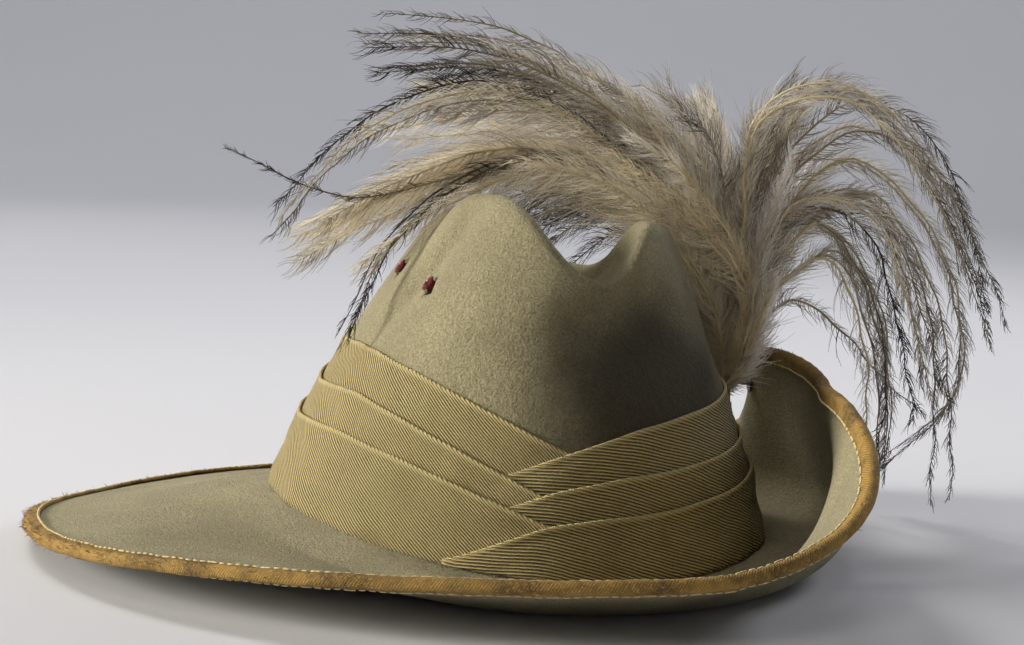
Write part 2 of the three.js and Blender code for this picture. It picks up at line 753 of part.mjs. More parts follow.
function addPiece(name, geometry, color, roughness, metalness) {
  const material = new THREE.MeshStandardMaterial({ color, roughness, metalness });
  const mesh = new THREE.Mesh(geometry, material);
  mesh.name = name;
  group.add(mesh);
}

addPiece('felt_body', feltWithVents(), 0x8e8468, 0.95, 0);
addPiece('brim_binding', bindingGeometry(), 0x9a7434, 0.85, 0);
addPiece('puggaree', puggareeGeometry(), 0xab8f55, 0.9, 0);
addPiece('plume', plumeGeometry(), 0x9b8f7c, 0.8, 0);
addPiece('flap_hook', hookGeometry(), 0x2e2b27, 0.5, 0.8);
for (const eyelet of EYELETS) {
  addPiece(eyelet.name, eyeletGeometry(eyelet), 0x6e1f22, 0.5, 0.3);
}

export default group;
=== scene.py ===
import bpy
import bmesh
import math
import numpy as np
from mathutils import Matrix, Vector, noise


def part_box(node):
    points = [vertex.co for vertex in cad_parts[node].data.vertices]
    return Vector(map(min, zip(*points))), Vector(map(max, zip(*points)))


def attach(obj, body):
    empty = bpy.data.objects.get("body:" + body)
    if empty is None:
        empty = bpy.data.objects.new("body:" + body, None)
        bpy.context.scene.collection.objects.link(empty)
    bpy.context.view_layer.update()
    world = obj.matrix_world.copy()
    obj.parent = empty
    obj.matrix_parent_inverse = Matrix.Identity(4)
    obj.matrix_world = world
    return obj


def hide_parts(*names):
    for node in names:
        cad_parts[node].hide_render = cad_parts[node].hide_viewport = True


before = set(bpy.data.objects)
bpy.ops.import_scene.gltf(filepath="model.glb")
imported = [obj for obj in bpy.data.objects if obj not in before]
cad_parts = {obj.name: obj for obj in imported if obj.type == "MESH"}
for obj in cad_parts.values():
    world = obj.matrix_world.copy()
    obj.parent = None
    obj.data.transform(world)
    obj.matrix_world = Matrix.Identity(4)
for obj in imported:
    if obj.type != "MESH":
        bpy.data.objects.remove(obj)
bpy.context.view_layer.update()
MM = 0.001
SEED = 11

# ------------------------------------------------------------------ sizes, in mm and degrees
# They repeat the driving dimensions of the part's own source.

HALF_WIDTH = 84.0
HALF_LENGTH = 101.0
HEAD_DIP = 6.0
LEAN_SIDEWAYS = 3.4
LEAN_FORWARDS = 1.5
HEAD_LIFT = 14.0
FELT = 2.0
LEAD = 18.9
FOLD_RADIUS = 12.3
BRIM_WIDTH = 85.8
FILLET = 3.5
WALLS = {"right": (0.28, 0.0021), "left": (0.281, 0.0012), "front": (0.13, 0.0012), "back": (0.24, 0.002)}
RIDGE_RIGHT, RIDGE_LEFT = 110.8, 106.1
SPREAD_RIGHT, SPREAD_LEFT, WIDENING = 36.0, 13.9, 0.134
RIDGE_FALL_FROM, RIDGE_FALL_FRONT, RIDGE_FALL_BACK = -50.0, 3.1, 8.7
CREASE_OFFSET, CREASE_MIDDLE, CREASE_FRONT, CREASE_BACK = 13.1, 81.4, 4.8, 3.0
CREASE_SHAPE, EDGE_SOFTNESS = 1.39, 2.4
# Dents in the crown: place round it, slant, height of the middle, depth, half-width, half-height.
DENTS = [(-78, 0, 72, 9, 17, 17), (-144, 0.72, 84, 4.5, 6.5, 26), (-30, -0.6, 84, 3, 9, 22)]
# The pinch at the front is pressed in a little further: place, half-width, height, half-height, depth.
PINCH_AT, PINCH_WIDE, PINCH_RISE, PINCH_TALL, PINCH_DEEP = -58, 14, 76, 11, 3.5
# Brim sections every 15 degrees from -180: slope at the crown, slope at the edge.
BRIM_ROWS = [
    (-7.5, -7.6), (-8.5, -5.1), (-9.7, -0.5), (-11.5, 5.6), (-13.7, 11.4), (-14.4, 16.0),
    (-13.6, 18.3), (-12.0, 21.0), (-9.9, 37.0), (-7.1, 75.9), (-5.1, 98.6), (-4.5, 104.5),
    (-4.3, 103.9), (-4.8, 98.9), (-4.1, 91.0), (-9.2, 31.0), (-11.5, 3.0), (-12.5, -5.0),
    (-14.0, -3.8), (-13.0, -6.0), (-12.3, -7.4), (-11.4, -9.6), (-10.0, -10.8), (-8.2, -9.9),
]
RIBBON_WIDE, RIBBON, GAP = 8.5, 0.8, 0.3
TWILL = 0.5
RIB_PITCH = 0.95
EYELETS = ("vent_eyelet_front", "vent_eyelet_rear")
QUILL_FOOT = np.array([82.0, 33.0, 33.0])
QUILL_HEAD = np.array([80.8, 31.0, 52.0])

# ------------------------------------------------------------------ the hat's surfaces


def rows_at(column, degrees):
    """Periodic cubic through the brim table."""
    rows = np.array(BRIM_ROWS)[:, column]
    place = ((np.asarray(degrees) + 180.0) / 15.0) % 24
    i = np.floor(place).astype(int)
    t = place - i
    p0, p1, p2, p3 = (rows[(i + k) % 24] for k in (-1, 0, 1, 2))
    a = 2 * p0 - 5 * p1 + 4 * p2 - p3
    b = -p0 + 3 * p1 - 3 * p2 + p3
    return p1 + 0.5 * t * (p2 - p0 + t * (a + t * b))


def lean_over(p):
    """Tips the upright hat over to how it lies on its brim."""
    pitch, roll = math.radians(LEAN_FORWARDS), math.radians(LEAN_SIDEWAYS)
    y = p[..., 1] * math.cos(pitch) - p[..., 2] * math.sin(pitch)
    z = p[..., 1] * math.sin(pitch) + p[..., 2] * math.cos(pitch)
    x = p[..., 0] * math.cos(roll) + z * math.sin(roll)
    return np.stack([x, y, -p[..., 0] * math.sin(roll) + z * math.cos(roll) + HEAD_LIFT], -1)


def outward(angle):
    """The level direction straight out from the head opening at this angle."""
    n = np.stack([np.cos(angle) / HALF_WIDTH, np.sin(angle) / HALF_LENGTH, 0 * angle], -1)
    return n / np.linalg.norm(n, axis=-1)[..., None]


def wall_at(angle):
    """The wall's lean at its foot, how the lean grows, and the head opening's reach at this angle."""
    side, front, w = (1 + np.cos(angle)) / 2, (1 - np.sin(angle)) / 2, np.cos(angle) ** 2
    pair = []
    for k in (0, 1):
        ends = WALLS["back"][k] * (1 - front) + WALLS["front"][k] * front
        sides = WALLS["right"][k] * (1 - side) + WALLS["left"][k] * side
        pair.append(ends * (1 - w) + sides * w)
    support = 1 / np.hypot(np.cos(angle) / HALF_WIDTH, np.sin(angle) / HALF_LENGTH)
    return pair[0], pair[1], support


def inward_at(angle, rise):
    """How far in the wall is at this rise, as a share of the head opening's reach."""
    lean, bend, support = wall_at(angle)
    return (lean * rise + bend * rise * rise) / support


def dent_at(angle, rise):
    """How deep the dents are at this angle and rise."""
    deep = 0 * angle
    for at, slant, middle, depth, wide, tall in DENTS:
        turn = (np.degrees(angle) - at - slant * (rise - middle) + 540) % 360 - 180
        deep = deep + depth * np.exp(-((turn / wide) ** 2) - ((rise - middle) / tall) ** 2)
    return deep


def crown_point(angle, inward):
    """A point on the crown, from the head opening at inward 0 to the middle of the top at 1."""
    lean, bend, support = wall_at(angle)
    x = HALF_WIDTH * np.cos(angle) * (1 - inward)
    y = HALF_LENGTH * np.sin(angle) * (1 - inward)
    root = np.sqrt(lean**2 + 4 * bend * np.maximum(inward * support, 0))
    side = (root - lean) / (2 * bend) - HEAD_DIP * np.sin(angle) ** 2 * (1 - inward)
    across = x - CREASE_OFFSET
    left = 1 / (1 + np.exp(-across / 5))
    along = y - RIDGE_FALL_FROM
    fall = np.where(along < 0, RIDGE_FALL_FRONT, RIDGE_FALL_BACK)
    ridge = RIDGE_RIGHT + (RIDGE_LEFT - RIDGE_RIGHT) * left - fall * (along / 60) ** 2
    crease = CREASE_MIDDLE + np.where(y < 0, CREASE_FRONT, CREASE_BACK) * (y / 70) ** 2
    narrow = np.maximum(SPREAD_LEFT + WIDENING * along, 8)
    spread = np.minimum(np.abs(across) / np.where(across < 0, SPREAD_RIGHT, narrow), 1)
    top = crease + (ridge - crease) * (0.5 - 0.5 * np.cos(math.pi * spread**CREASE_SHAPE))
    low = np.minimum(side, top)
    both = np.exp((low - side) / EDGE_SOFTNESS) + np.exp((low - top) / EDGE_SOFTNESS)
    z = low - EDGE_SOFTNESS * np.log(both)
    aside = (np.degrees(angle) - PINCH_AT) / PINCH_WIDE
    pinch = PINCH_DEEP * np.exp(-(aside**2) - ((z - PINCH_RISE) / PINCH_TALL) ** 2)
    deep = (dent_at(angle, z) + pinch) * np.minimum(1, 3 * (1 - inward))
    return lean_over(np.stack([x, y, z], -1) - outward(angle) * deep[..., None])


def wall_surface(angle, rise, away):
    """A point on the crown's side at this rise, this far out from the felt's middle."""
    lean, bend, support = wall_at(angle)
    inward = (lean * rise + bend * rise * rise) / support
    slope = np.arctan(lean + 2 * bend * rise)
    z = rise - HEAD_DIP * np.sin(angle) ** 2 * (1 - inward) + away * np.sin(slope)
    p = np.stack([
        HALF_WIDTH * np.cos(angle) * (1 - inward), HALF_LENGTH * np.sin(angle) * (1 - inward), z], -1)
    return lean_over(p + outward(angle) * (away * np.cos(slope) - dent_at(angle, rise))[..., None])


def brim_point(angle, travel):
    """A point on the brim, this far out along the felt from the head opening."""
    degrees = np.degrees(angle)
    start, turn = np.radians(rows_at(0, degrees)), np.radians(rows_at(1, degrees))
    bend = turn - start
    arc = np.maximum(np.abs(bend) * FOLD_RADIUS, 1e-6)
    lead = np.minimum(LEAD, np.maximum(0, (BRIM_WIDTH - arc) / 2))
    sign = np.where(bend < 0, -1.0, 1.0)
    flat = np.minimum(travel, lead)
    slope = start + bend * np.clip((travel - lead) / arc, 0, 1)
    rest = np.maximum(0, travel - lead - arc)
    out = flat * np.cos(start) + FOLD_RADIUS * sign * (np.sin(slope) - np.sin(start)) + rest * np.cos(turn)
    up = flat * np.sin(start) + FOLD_RADIUS * sign * (np.cos(start) - np.cos(slope)) + rest * np.sin(turn)
    ring = np.stack([
        HALF_WIDTH * np.cos(angle), HALF_LENGTH * np.sin(angle), -HEAD_DIP * np.sin(angle) ** 2], -1)
    p = lean_over(ring) + outward(angle) * out[..., None]
    near = np.clip((travel - BRIM_WIDTH + 2 * RIBBON_WIDE) / RIBBON_WIDE, 0, 1)
    floor = (FELT / 2 - 0.05) * (1 - near) + (FELT / 2 + GAP + RIBBON) * near
    p[..., 2] = np.maximum(p[..., 2] + up, floor)
    return p


def meridians(count, top, corner, brim):
    """The felt's middle surface: one line of points for each of count angles, from the crown's
    centre down the wall, round the break and out along the brim."""
    lines = []
    for angle in -math.pi + 2 * math.pi * np.arange(count + 1) / count:
        q = np.linspace(1, float(inward_at(angle, FILLET)), 500)
        wall = crown_point(angle + 0 * q, q)
        length = np.concatenate([[0], np.cumsum(np.linalg.norm(np.diff(wall, axis=0), axis=1))])
        at = np.interp(np.linspace(0, length[-1], top), length, q)
        wall = crown_point(angle + 0 * at, at)
        t = np.linspace(0, 1, corner + 2)[1:-1, None]
        ring = brim_point(np.array([angle]), np.array([0.0]))
        toe = brim_point(np.array([angle]), np.array([FILLET]))
        turn = (1 - t) ** 2 * wall[-1] + 2 * t * (1 - t) * ring + t * t * toe
        out = brim_point(angle + np.zeros(brim), np.linspace(FILLET, BRIM_WIDTH, brim))
        lines.append(np.concatenate([wall, turn, out]))
    return np.array(lines)


# ------------------------------------------------------------------ mesh helpers


def grid_mesh(columns, rows, points, size=(1.0, 1.0)):
    """A grid laid on points[column][row] in mm, with a UV map of this size in metres."""
    bm = bmesh.new()
    uv = bm.loops.layers.uv.new("UVMap")
    bmesh.ops.create_grid(bm, x_segments=columns - 1, y_segments=rows - 1, size=0.5, calc_uvs=True)
    for v in bm.verts:
        i = round((v.co.x + 0.5) * (columns - 1))
        j = round((v.co.y + 0.5) * (rows - 1))
        v.co = points[i][j] * MM
    for face in bm.faces:
        face.smooth = True
        for loop in face.loops:
            loop[uv].uv = (loop[uv].uv.x * size[0], loop[uv].uv.y * size[1])
    return bm


def add_piece(name, bm, material, thick=0.0, replaces=None):
    """Turns a mesh into a piece that rides with the hat, with a felt or cloth thickness in mm."""
    mesh = bpy.data.meshes.new(name)
    bm.to_mesh(mesh)
    bm.free()
    piece = bpy.data.objects.new(name, mesh)
    bpy.context.scene.collection.objects.link(piece)
    mesh.materials.append(material)
    if thick:
        wall = piece.modifiers.new("wall", "SOLIDIFY")
        wall.thickness = thick * MM
        wall.offset = 0.0
        wall.use_even_offset = True
    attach(piece, "root")
    if replaces:
        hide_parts(replaces)
    return piece


def close_up(bm):
    """Merges seams and poles and turns every face outwards."""
    bmesh.ops.remove_doubles(bm, verts=bm.verts, dist=1e-6)
    bmesh.ops.recalc_face_normals(bm, faces=bm.faces)


def roughness_of(points, scale, seed):
    """Smooth noise from -1 to 1 at each point; scale is the size of its lumps in mm."""
    flat = points.reshape(-1, 3) / scale + seed
    return np.array([noise.noise(Vector(p)) for p in flat]).reshape(points.shape[:-1])


# ------------------------------------------------------------------ materials


def linear(code):
    """A hex sRGB colour as linear red, green, blue and alpha."""
    parts = [int(code[k:k + 2], 16) / 255 for k in (1, 3, 5)]
    return [c / 12.92 if c <= 0.04045 else ((c + 0.055) / 1.055) ** 2.4 for c in parts] + [1.0]


def add(tree, kind, links=None, **settings):
    """Adds a shader node, its settings, and its values or links by socket name or number."""
    node = tree.nodes.new("ShaderNode" + kind)
    for key, value in settings.items():
        setattr(node, key, value)
    for key, value in (links or {}).items():
        if isinstance(value, bpy.types.NodeSocket):
            tree.links.new(value, node.inputs[key])
        else:
            node.inputs[key].default_value = value
    return node


def new_material(name):
    """A material, its node tree and its main shader."""
    material = bpy.data.materials.new(name)
    material.use_nodes = True
    tree = material.node_tree
    return material, tree, tree.nodes["Principled BSDF"]


# The patch of painted shade at the front pinch of the felt, standing in for the pinch's shadow, with some
# handling grime, in metres, and how dark it is at its middle.
SHADE_AND_GRIME_AT, SHADE_AND_GRIME_SIZE, SHADE_AND_GRIME = (0.031, -0.072, 0.058), (0.054, 0.09, 0.046), 0.88


def felt_material(name, light, dark, grain):
    # Blocked wool felt: matt, with a salt-and-pepper grain of crossing fibres and faint marks. The
    # fibres are far finer than the 0.75 mm grain, which is as coarse as it needs to be to show.
    material, tree, shader = new_material(name)
    place = add(tree, "TexCoord").outputs["Object"]
    fibre = add(tree, "TexNoise", {"Vector": place, "Scale": 1000 / 0.75, "Detail": 3.0, "Roughness": 0.7})
    nap = add(tree, "TexNoise", {"Vector": place, "Scale": 1000 / 2.4, "Detail": 4.0, "Roughness": 0.6})
    mark = add(tree, "TexNoise", {"Vector": place, "Scale": 1000 / 38, "Detail": 5.0, "Roughness": 0.6})
    speck = add(tree, "MapRange", {0: fibre.outputs["Fac"], 1: 0.5 - grain, 2: 0.5 + grain, 3: 0.0, 4: 1.0})
    faint = add(tree, "Math", {0: mark.outputs["Fac"], 1: 0.25, 2: 0.38}, operation="MULTIPLY_ADD")
    tone = add(
        tree, "Math", {0: speck.outputs[0], 1: mark.outputs["Fac"], 2: faint.outputs[0]},
        operation="MULTIPLY_ADD")
    level = add(tree, "MapRange", {0: tone.outputs[0], 1: 0.15, 2: 1.15, 3: 0.0, 4: 1.0})
    colour = add(tree, "Mix", {0: level.outputs[0], 6: linear(dark), 7: linear(light)}, data_type="RGBA")
    # Painted shade, with some handling grime, darkens the pinch at the front of the crown.
    near = add(tree, "VectorMath", {0: place, 1: SHADE_AND_GRIME_AT}, operation="SUBTRACT")
    sized = add(tree, "VectorMath", {0: near.outputs[0], 1: SHADE_AND_GRIME_SIZE}, operation="DIVIDE")
    away = add(tree, "VectorMath", {0: sized.outputs[0]}, operation="LENGTH")
    ragged = add(
        tree, "Math", {0: mark.outputs["Fac"], 1: 0.5, 2: away.outputs["Value"]}, operation="MULTIPLY_ADD")
    shade_grime_mask = add(
        tree, "MapRange", {0: ragged.outputs[0], 1: 0.65, 2: 1.35, 3: SHADE_AND_GRIME, 4: 0.0},
        interpolation_type="SMOOTHSTEP")
    shaded_grimed_felt = add(
        tree, "Mix", {0: shade_grime_mask.outputs[0], 6: colour.outputs[2], 7: linear("#2b241a")}, data_type="RGBA")
    tree.links.new(shaded_grimed_felt.outputs[2], shader.inputs["Base Color"])
    height = add(tree, "Math", {0: fibre.outputs["Fac"], 1: nap.outputs["Fac"]}, operation="ADD")
    bump = add(tree, "Bump", {"Height": height.outputs[0], "Strength": 1.0, "Distance": 0.0013})
    tree.links.new(bump.outputs["Normal"], shader.inputs["Normal"])
    shader.inputs["Roughness"].default_value = 0.95
    shader.inputs["Sheen Weight"].default_value = 0.12
    shader.inputs["Sheen Roughness"].default_value = 0.5
    shader.inputs["Specular IOR Level"].default_value = 0.2
    return material


def twill_material(name, light, dark, slant):
    # Cotton twill: fine raised diagonal ribs on a khaki ground, with faint stains and a painted highlight
    # along the folded edge. slant is the ribs' angle to the fold. The ribs are drawn 0.95 mm
    # apart, about as coarse as they need to be to show.
    material, tree, shader = new_material(name)
    uv = add(tree, "UVMap", uv_map="UVMap").outputs["UV"]
    place = add(tree, "TexCoord").outputs["Object"]
    parts = add(tree, "SeparateXYZ", {0: uv})
    warp = add(tree, "TexNoise", {"Vector": place, "Scale": 1000 / 9, "Detail": 2.0})
    k = 2 * math.pi / (RIB_PITCH * MM)
    lean = math.radians(slant)
    along = add(tree, "Math", {0: parts.outputs[0], 1: k * math.sin(lean)}, operation="MULTIPLY")
    across = add(tree, "Math", {0: parts.outputs[1], 1: k * math.cos(lean)}, operation="MULTIPLY")
    both = add(tree, "Math", {0: along.outputs[0], 1: across.outputs[0]}, operation="ADD")
    wander = add(tree, "Math", {0: warp.outputs["Fac"], 1: 3.0, 2: both.outputs[0]}, operation="MULTIPLY_ADD")
    wave = add(tree, "Math", {0: wander.outputs[0]}, operation="SINE")
    yarn = add(tree, "TexNoise", {"Vector": place, "Scale": 1000 / 0.6, "Detail": 2.0})
    stain = add(tree, "TexNoise", {"Vector": place, "Scale": 1000 / 26, "Detail": 6.0, "Roughness": 0.65})
    rib = add(tree, "MapRange", {0: wave.outputs[0], 1: -0.9, 2: 0.7, 3: -0.12, 4: 0.72})
    mixed = add(tree, "Math", {0: yarn.outputs["Fac"], 1: 0.5, 2: rib.outputs[0]}, operation="MULTIPLY_ADD")
    colour = add(tree, "Mix", {0: mixed.outputs[0], 6: linear(dark), 7: linear(light)}, data_type="RGBA")
    spots = add(tree, "MapRange", {0: stain.outputs["Fac"], 1: 0.56, 2: 0.7, 3: 0.0, 4: 0.4})
    aged = add(
        tree, "Mix", {0: spots.outputs[0], 6: colour.outputs[2], 7: linear("#7a5a2c")}, data_type="RGBA")
    # Painted highlight: the top edge of each fold, where light catches the rolled edge, is mixed towards pale
    # khaki.
    edge = add(tree, "MapRange", {0: parts.outputs[1], 1: -1.4 * MM, 2: -0.4 * MM, 3: 0.0, 4: 0.55})
    edge_highlighted = add(
        tree, "Mix", {0: edge.outputs[0], 6: aged.outputs[2], 7: linear("#dcc78d")}, data_type="RGBA")
    tree.links.new(edge_highlighted.outputs[2], shader.inputs["Base Color"])
    bump = add(tree, "Bump", {"Height": mixed.outputs[0], "Strength": 1.0, "Distance": 0.0009})
    tree.links.new(bump.outputs["Normal"], shader.inputs["Normal"])
    shader.inputs["Roughness"].default_value = 0.85
    shader.inputs["Specular IOR Level"].default_value = 0.25
    shader.inputs["Sheen Weight"].default_value = 0.1
    return material


def ribbon_material():
    # Grosgrain ribbon: golden brown with cross ribs, rubbed dark and pale with wear.
    material, tree, shader = new_material("worn_grosgrain_ribbon")
    uv = add(tree, "UVMap", uv_map="UVMap").outputs["UV"]
    place = add(tree, "TexCoord").outputs["Object"]
    parts = add(tree, "SeparateXYZ", {0: uv})
    k = 2 * math.pi / (RIB_PITCH * MM)
    skew = add(tree, "Math", {0: parts.outputs[1], 1: 0.5, 2: parts.outputs[0]}, operation="MULTIPLY_ADD")
    turns = add(tree, "Math", {0: skew.outputs[0], 1: k}, operation="MULTIPLY")
    wave = add(tree, "Math", {0: turns.outputs[0]}, operation="SINE")
    rib = add(tree, "MapRange", {0: wave.outputs[0], 1: -1.0, 2: 0.5, 3: 0.55, 4: 1.0})
    wear = add(tree, "TexNoise", {"Vector": place, "Scale": 1000 / 14, "Detail": 6.0, "Roughness": 0.7})
    worn = add(tree, "MapRange", {0: wear.outputs["Fac"], 1: 0.44, 2: 0.64, 3: 0.0, 4: 0.9})
    base = add(
        tree, "Mix", {0: worn.outputs[0], 6: linear("#a2803f"), 7: linear("#56431f")}, data_type="RGBA")
    fuzz = add(tree, "TexNoise", {"Vector": place, "Scale": 1000 / 0.8, "Detail": 3.0})
    pale = add(tree, "MapRange", {0: fuzz.outputs["Fac"], 1: 0.5, 2: 0.75, 3: 0.0, 4: 0.5})
    tint = add(tree, "Mix", {0: pale.outputs[0], 6: base.outputs[2], 7: linear("#cdb478")}, data_type="RGBA")
    shade = add(tree, "Mix", {0: rib.outputs[0], 6: linear("#4b3616"), 7: tint.outputs[2]}, data_type="RGBA")
    tree.links.new(shade.outputs[2], shader.inputs["Base Color"])
    height = add(tree, "Math", {0: fuzz.outputs["Fac"], 1: 0.6, 2: rib.outputs[0]}, operation="MULTIPLY_ADD")
    bump = add(tree, "Bump", {"Height": height.outputs[0], "Strength": 0.7, "Distance": 0.0004})
    tree.links.new(bump.outputs["Normal"], shader.inputs["Normal"])
    shader.inputs["Roughness"].default_value = 0.8
    shader.inputs["Specular IOR Level"].default_value = 0.3
    return material


def thread_material(name, dark, light):
    # Cotton thread with a dull twist: straw-coloured where it sews the hems, golden brown where the
    # ribbon frays.
    material, tree, shader = new_material(name)
    place = add(tree, "TexCoord").outputs["Object"]
    twist = add(tree, "TexNoise", {"Vector": place, "Scale": 1000 / 1.5, "Detail": 2.0})
    colour = add(tree, "Mix", {0: twist.outputs["Fac"], 6: linear(dark), 7: linear(light)}, data_type="RGBA")
    tree.links.new(colour.outputs[2], shader.inputs["Base Color"])
    shader.inputs["Roughness"].default_value = 0.8
    return material


def barb_material():
    # Feather barbs: soft keratin threads, pale near the foot and dark at their ends, from grey to
    # straw; the mesh carries how dark and how warm each one is, and some light comes through. They
    # are drawn 0.3 mm wide, several times the real width, so that they show.
    material, tree, shader = new_material("emu_feather_barbs")
    tone = add(tree, "Attribute", attribute_name="tone").outputs["Fac"]
    warm = add(tree, "Attribute", attribute_name="warm").outputs["Fac"]
    place = add(tree, "TexCoord").outputs["Object"]
    fine = add(tree, "TexNoise", {"Vector": place, "Scale": 1000 / 3.0, "Detail": 2.0})
    level = add(tree, "Math", {0: fine.outputs["Fac"], 1: 0.25, 2: tone}, operation="MULTIPLY_ADD")
    middle = add(tree, "MapRange", {0: level.outputs[0], 1: 0.15, 2: 0.6, 3: 0.0, 4: 1.0})
    deep = add(tree, "MapRange", {0: level.outputs[0], 1: 0.6, 2: 1.15, 3: 0.0, 4: 1.0})
    pale = add(tree, "Mix", {0: warm, 6: linear("#efedeb"), 7: linear("#fbf0d2")}, data_type="RGBA")
    dun = add(tree, "Mix", {0: warm, 6: linear("#a5a19c"), 7: linear("#ab9b7e")}, data_type="RGBA")
    dark = add(tree, "Mix", {0: warm, 6: linear("#2b2a28"), 7: linear("#302820")}, data_type="RGBA")
    first = add(tree, "Mix", {0: middle.outputs[0], 6: pale.outputs[2], 7: dun.outputs[2]}, data_type="RGBA")
    last = add(tree, "Mix", {0: deep.outputs[0], 6: first.outputs[2], 7: dark.outputs[2]}, data_type="RGBA")
    tree.links.new(last.outputs[2], shader.inputs["Base Color"])
    shader.inputs["Roughness"].default_value = 0.5
    shader.inputs["Specular IOR Level"].default_value = 0.45
    shader.inputs["Sheen Weight"].default_value = 0.4
    shader.inputs["Sheen Roughness"].default_value = 0.4
    through = add(tree, "BsdfTranslucent", {"Color": last.outputs[2]})
    both = add(tree, "MixShader", {0: 0.45, 1: shader.outputs[0], 2: through.outputs[0]})
    tree.links.new(both.outputs[0], tree.nodes["Material Output"].inputs["Surface"])
    return material


def shaft_material():
    # Feather shafts: smooth horn, cream at the quill and dark brown towards the tip.
    material, tree, shader = new_material("feather_shaft_horn")
    tone = add(tree, "Attribute", attribute_name="tone").outputs["Fac"]
    place = add(tree, "TexCoord").outputs["Object"]
    fine = add(tree, "TexNoise", {"Vector": place, "Scale": 1000 / 5.0, "Detail": 2.0})
    level = add(tree, "Math", {0: fine.outputs["Fac"], 1: 0.2, 2: tone}, operation="MULTIPLY_ADD")
    colour = add(
        tree, "Mix", {0: level.outputs[0], 6: linear("#f2dfae"), 7: linear("#2e241a")}, data_type="RGBA")
    tree.links.new(colour.outputs[2], shader.inputs["Base Color"])
    shader.inputs["Roughness"].default_value = 0.35
    return material


def enamel_material(name, colour, chip, metallic, rough):
    # Stove enamel or blacking on thin metal, chipped to show what is under it.
    material, tree, shader = new_material(name)
    place = add(tree, "TexCoord").outputs["Object"]
    chips = add(tree, "TexNoise", {"Vector": place, "Scale": 1000 / 1.6, "Detail": 3.0})
    level = add(tree, "MapRange", {0: chips.outputs["Fac"], 1: 0.5, 2: 0.62, 3: 0.0, 4: 1.0})
    mixed = add(tree, "Mix", {0: level.outputs[0], 6: linear(colour), 7: linear(chip)}, data_type="RGBA")
    tree.links.new(mixed.outputs[2], shader.inputs["Base Color"])
    shader.inputs["Metallic"].default_value = metallic
    shader.inputs["Roughness"].default_value = rough
    return material


def paper_material(name, colour):
    # Seamless studio paper: matt, with hardly any grain.
    material, tree, shader = new_material(name)
    place = add(tree, "TexCoord").outputs["Object"]
    grain = add(tree, "TexNoise", {"Vector": place, "Scale": 3.0, "Detail": 3.0})
    faint = add(tree, "Math", {0: grain.outputs["Fac"], 1: 0.08}, operation="MULTIPLY")
    mixed = add(tree, "Mix", {0: faint.outputs[0], 6: linear(colour), 7: linear("#ffffff")}, data_type="RGBA")
    tree.links.new(mixed.outputs[2], shader.inputs["Base Color"])
    shader.inputs["Roughness"].default_value = 0.9
    return material


felt_cloth = felt_material("brushed_wool_felt", "#c0b68f", "#564e38", 0.14)
ribbon_cloth = ribbon_material()
thread = thread_material("straw_cotton_thread", "#a3915c", "#e3d3a2")
frayed_ends = thread_material("golden_frayed_thread", "#62461b", "#a37d3c")
barbs_horn = barb_material()
shafts_horn = shaft_material()

# ------------------------------------------------------------------ camera, light and floor

YAW, TILT, TURN = math.radians(8.92), math.radians(4.83), math.radians(2.05)
FAR, LENS = 0.9036, 90.2
AIM_ASIDE, AIM_HIGH = -3.18, 79.2
back = Vector((-math.sin(YAW) * math.cos(TILT), -math.cos(YAW) * math.cos(TILT), math.sin(TILT)))
target = Vector((AIM_ASIDE * math.cos(YAW), -AIM_ASIDE * math.sin(YAW), AIM_HIGH)) * MM
camera = bpy.data.objects.new("camera", bpy.data.cameras.new("camera"))
bpy.context.scene.collection.objects.link(camera)
camera.data.lens = LENS
camera.data.sensor_width = 36.0
camera.data.clip_start = 0.05
right = (-back).cross(Vector((0, 0, 1))).normalized()
up = right.cross(-back)
level, plumb = right * math.cos(TURN) + up * math.sin(TURN), up * math.cos(TURN) - right * math.sin(TURN)
axes = Matrix((level, plumb, back)).transposed()
camera.matrix_world = Matrix.Translation(target + back * FAR) @ axes.to_4x4()
bpy.context.scene.camera = camera


def soft_light(name, place, aim, size, power, colour, spread):
    """A round lamp of this size in metres, power in watts and spread in degrees."""
    light = bpy.data.lights.new(name, "AREA")
    light.shape = "DISK"
    light.size = size
    light.energy = power
    light.color = linear(colour)[:3]
    light.spread = math.radians(spread)
    lamp = bpy.data.objects.new(name, light)
    bpy.context.scene.collection.objects.link(lamp)
    lamp.location = place
    lamp.rotation_euler = (Vector(aim) - Vector(place)).to_track_quat("-Z", "Y").to_euler()


soft_light("window", (-2.6, -0.1, 0.8), (0, 0, 0.08), 1.1, 9.2, "#fffaf0", 50)
soft_light("high_window", (-0.9, 1.7, 2.4), (0, 0, 0.08), 1.0, 34, "#fffcf8", 180)
soft_light("room", (-1.2, -2.2, 2.4), (0, 0, 0.08), 1.8, 20, "#fff8ee", 180)
soft_light("side", (2.2, 1.8, 1.5), (0.1, 0, 0.08), 1.2, 5, "#f6f6ff", 70)
soft_light("backdrop", (0.3, 1.4, 2.9), (0.1, 4.2, 0.6), 1.2, 36, "#f6f7ff", 180)
world = bpy.data.worlds.new("room")
bpy.context.scene.world = world
world.use_nodes = True
world.node_tree.nodes["Background"].inputs["Color"].default_value = linear("#b8bcc4")
world.node_tree.nodes["Background"].inputs["Strength"].default_value = 0.04
bpy.context.scene.view_settings.view_transform = "Standard"

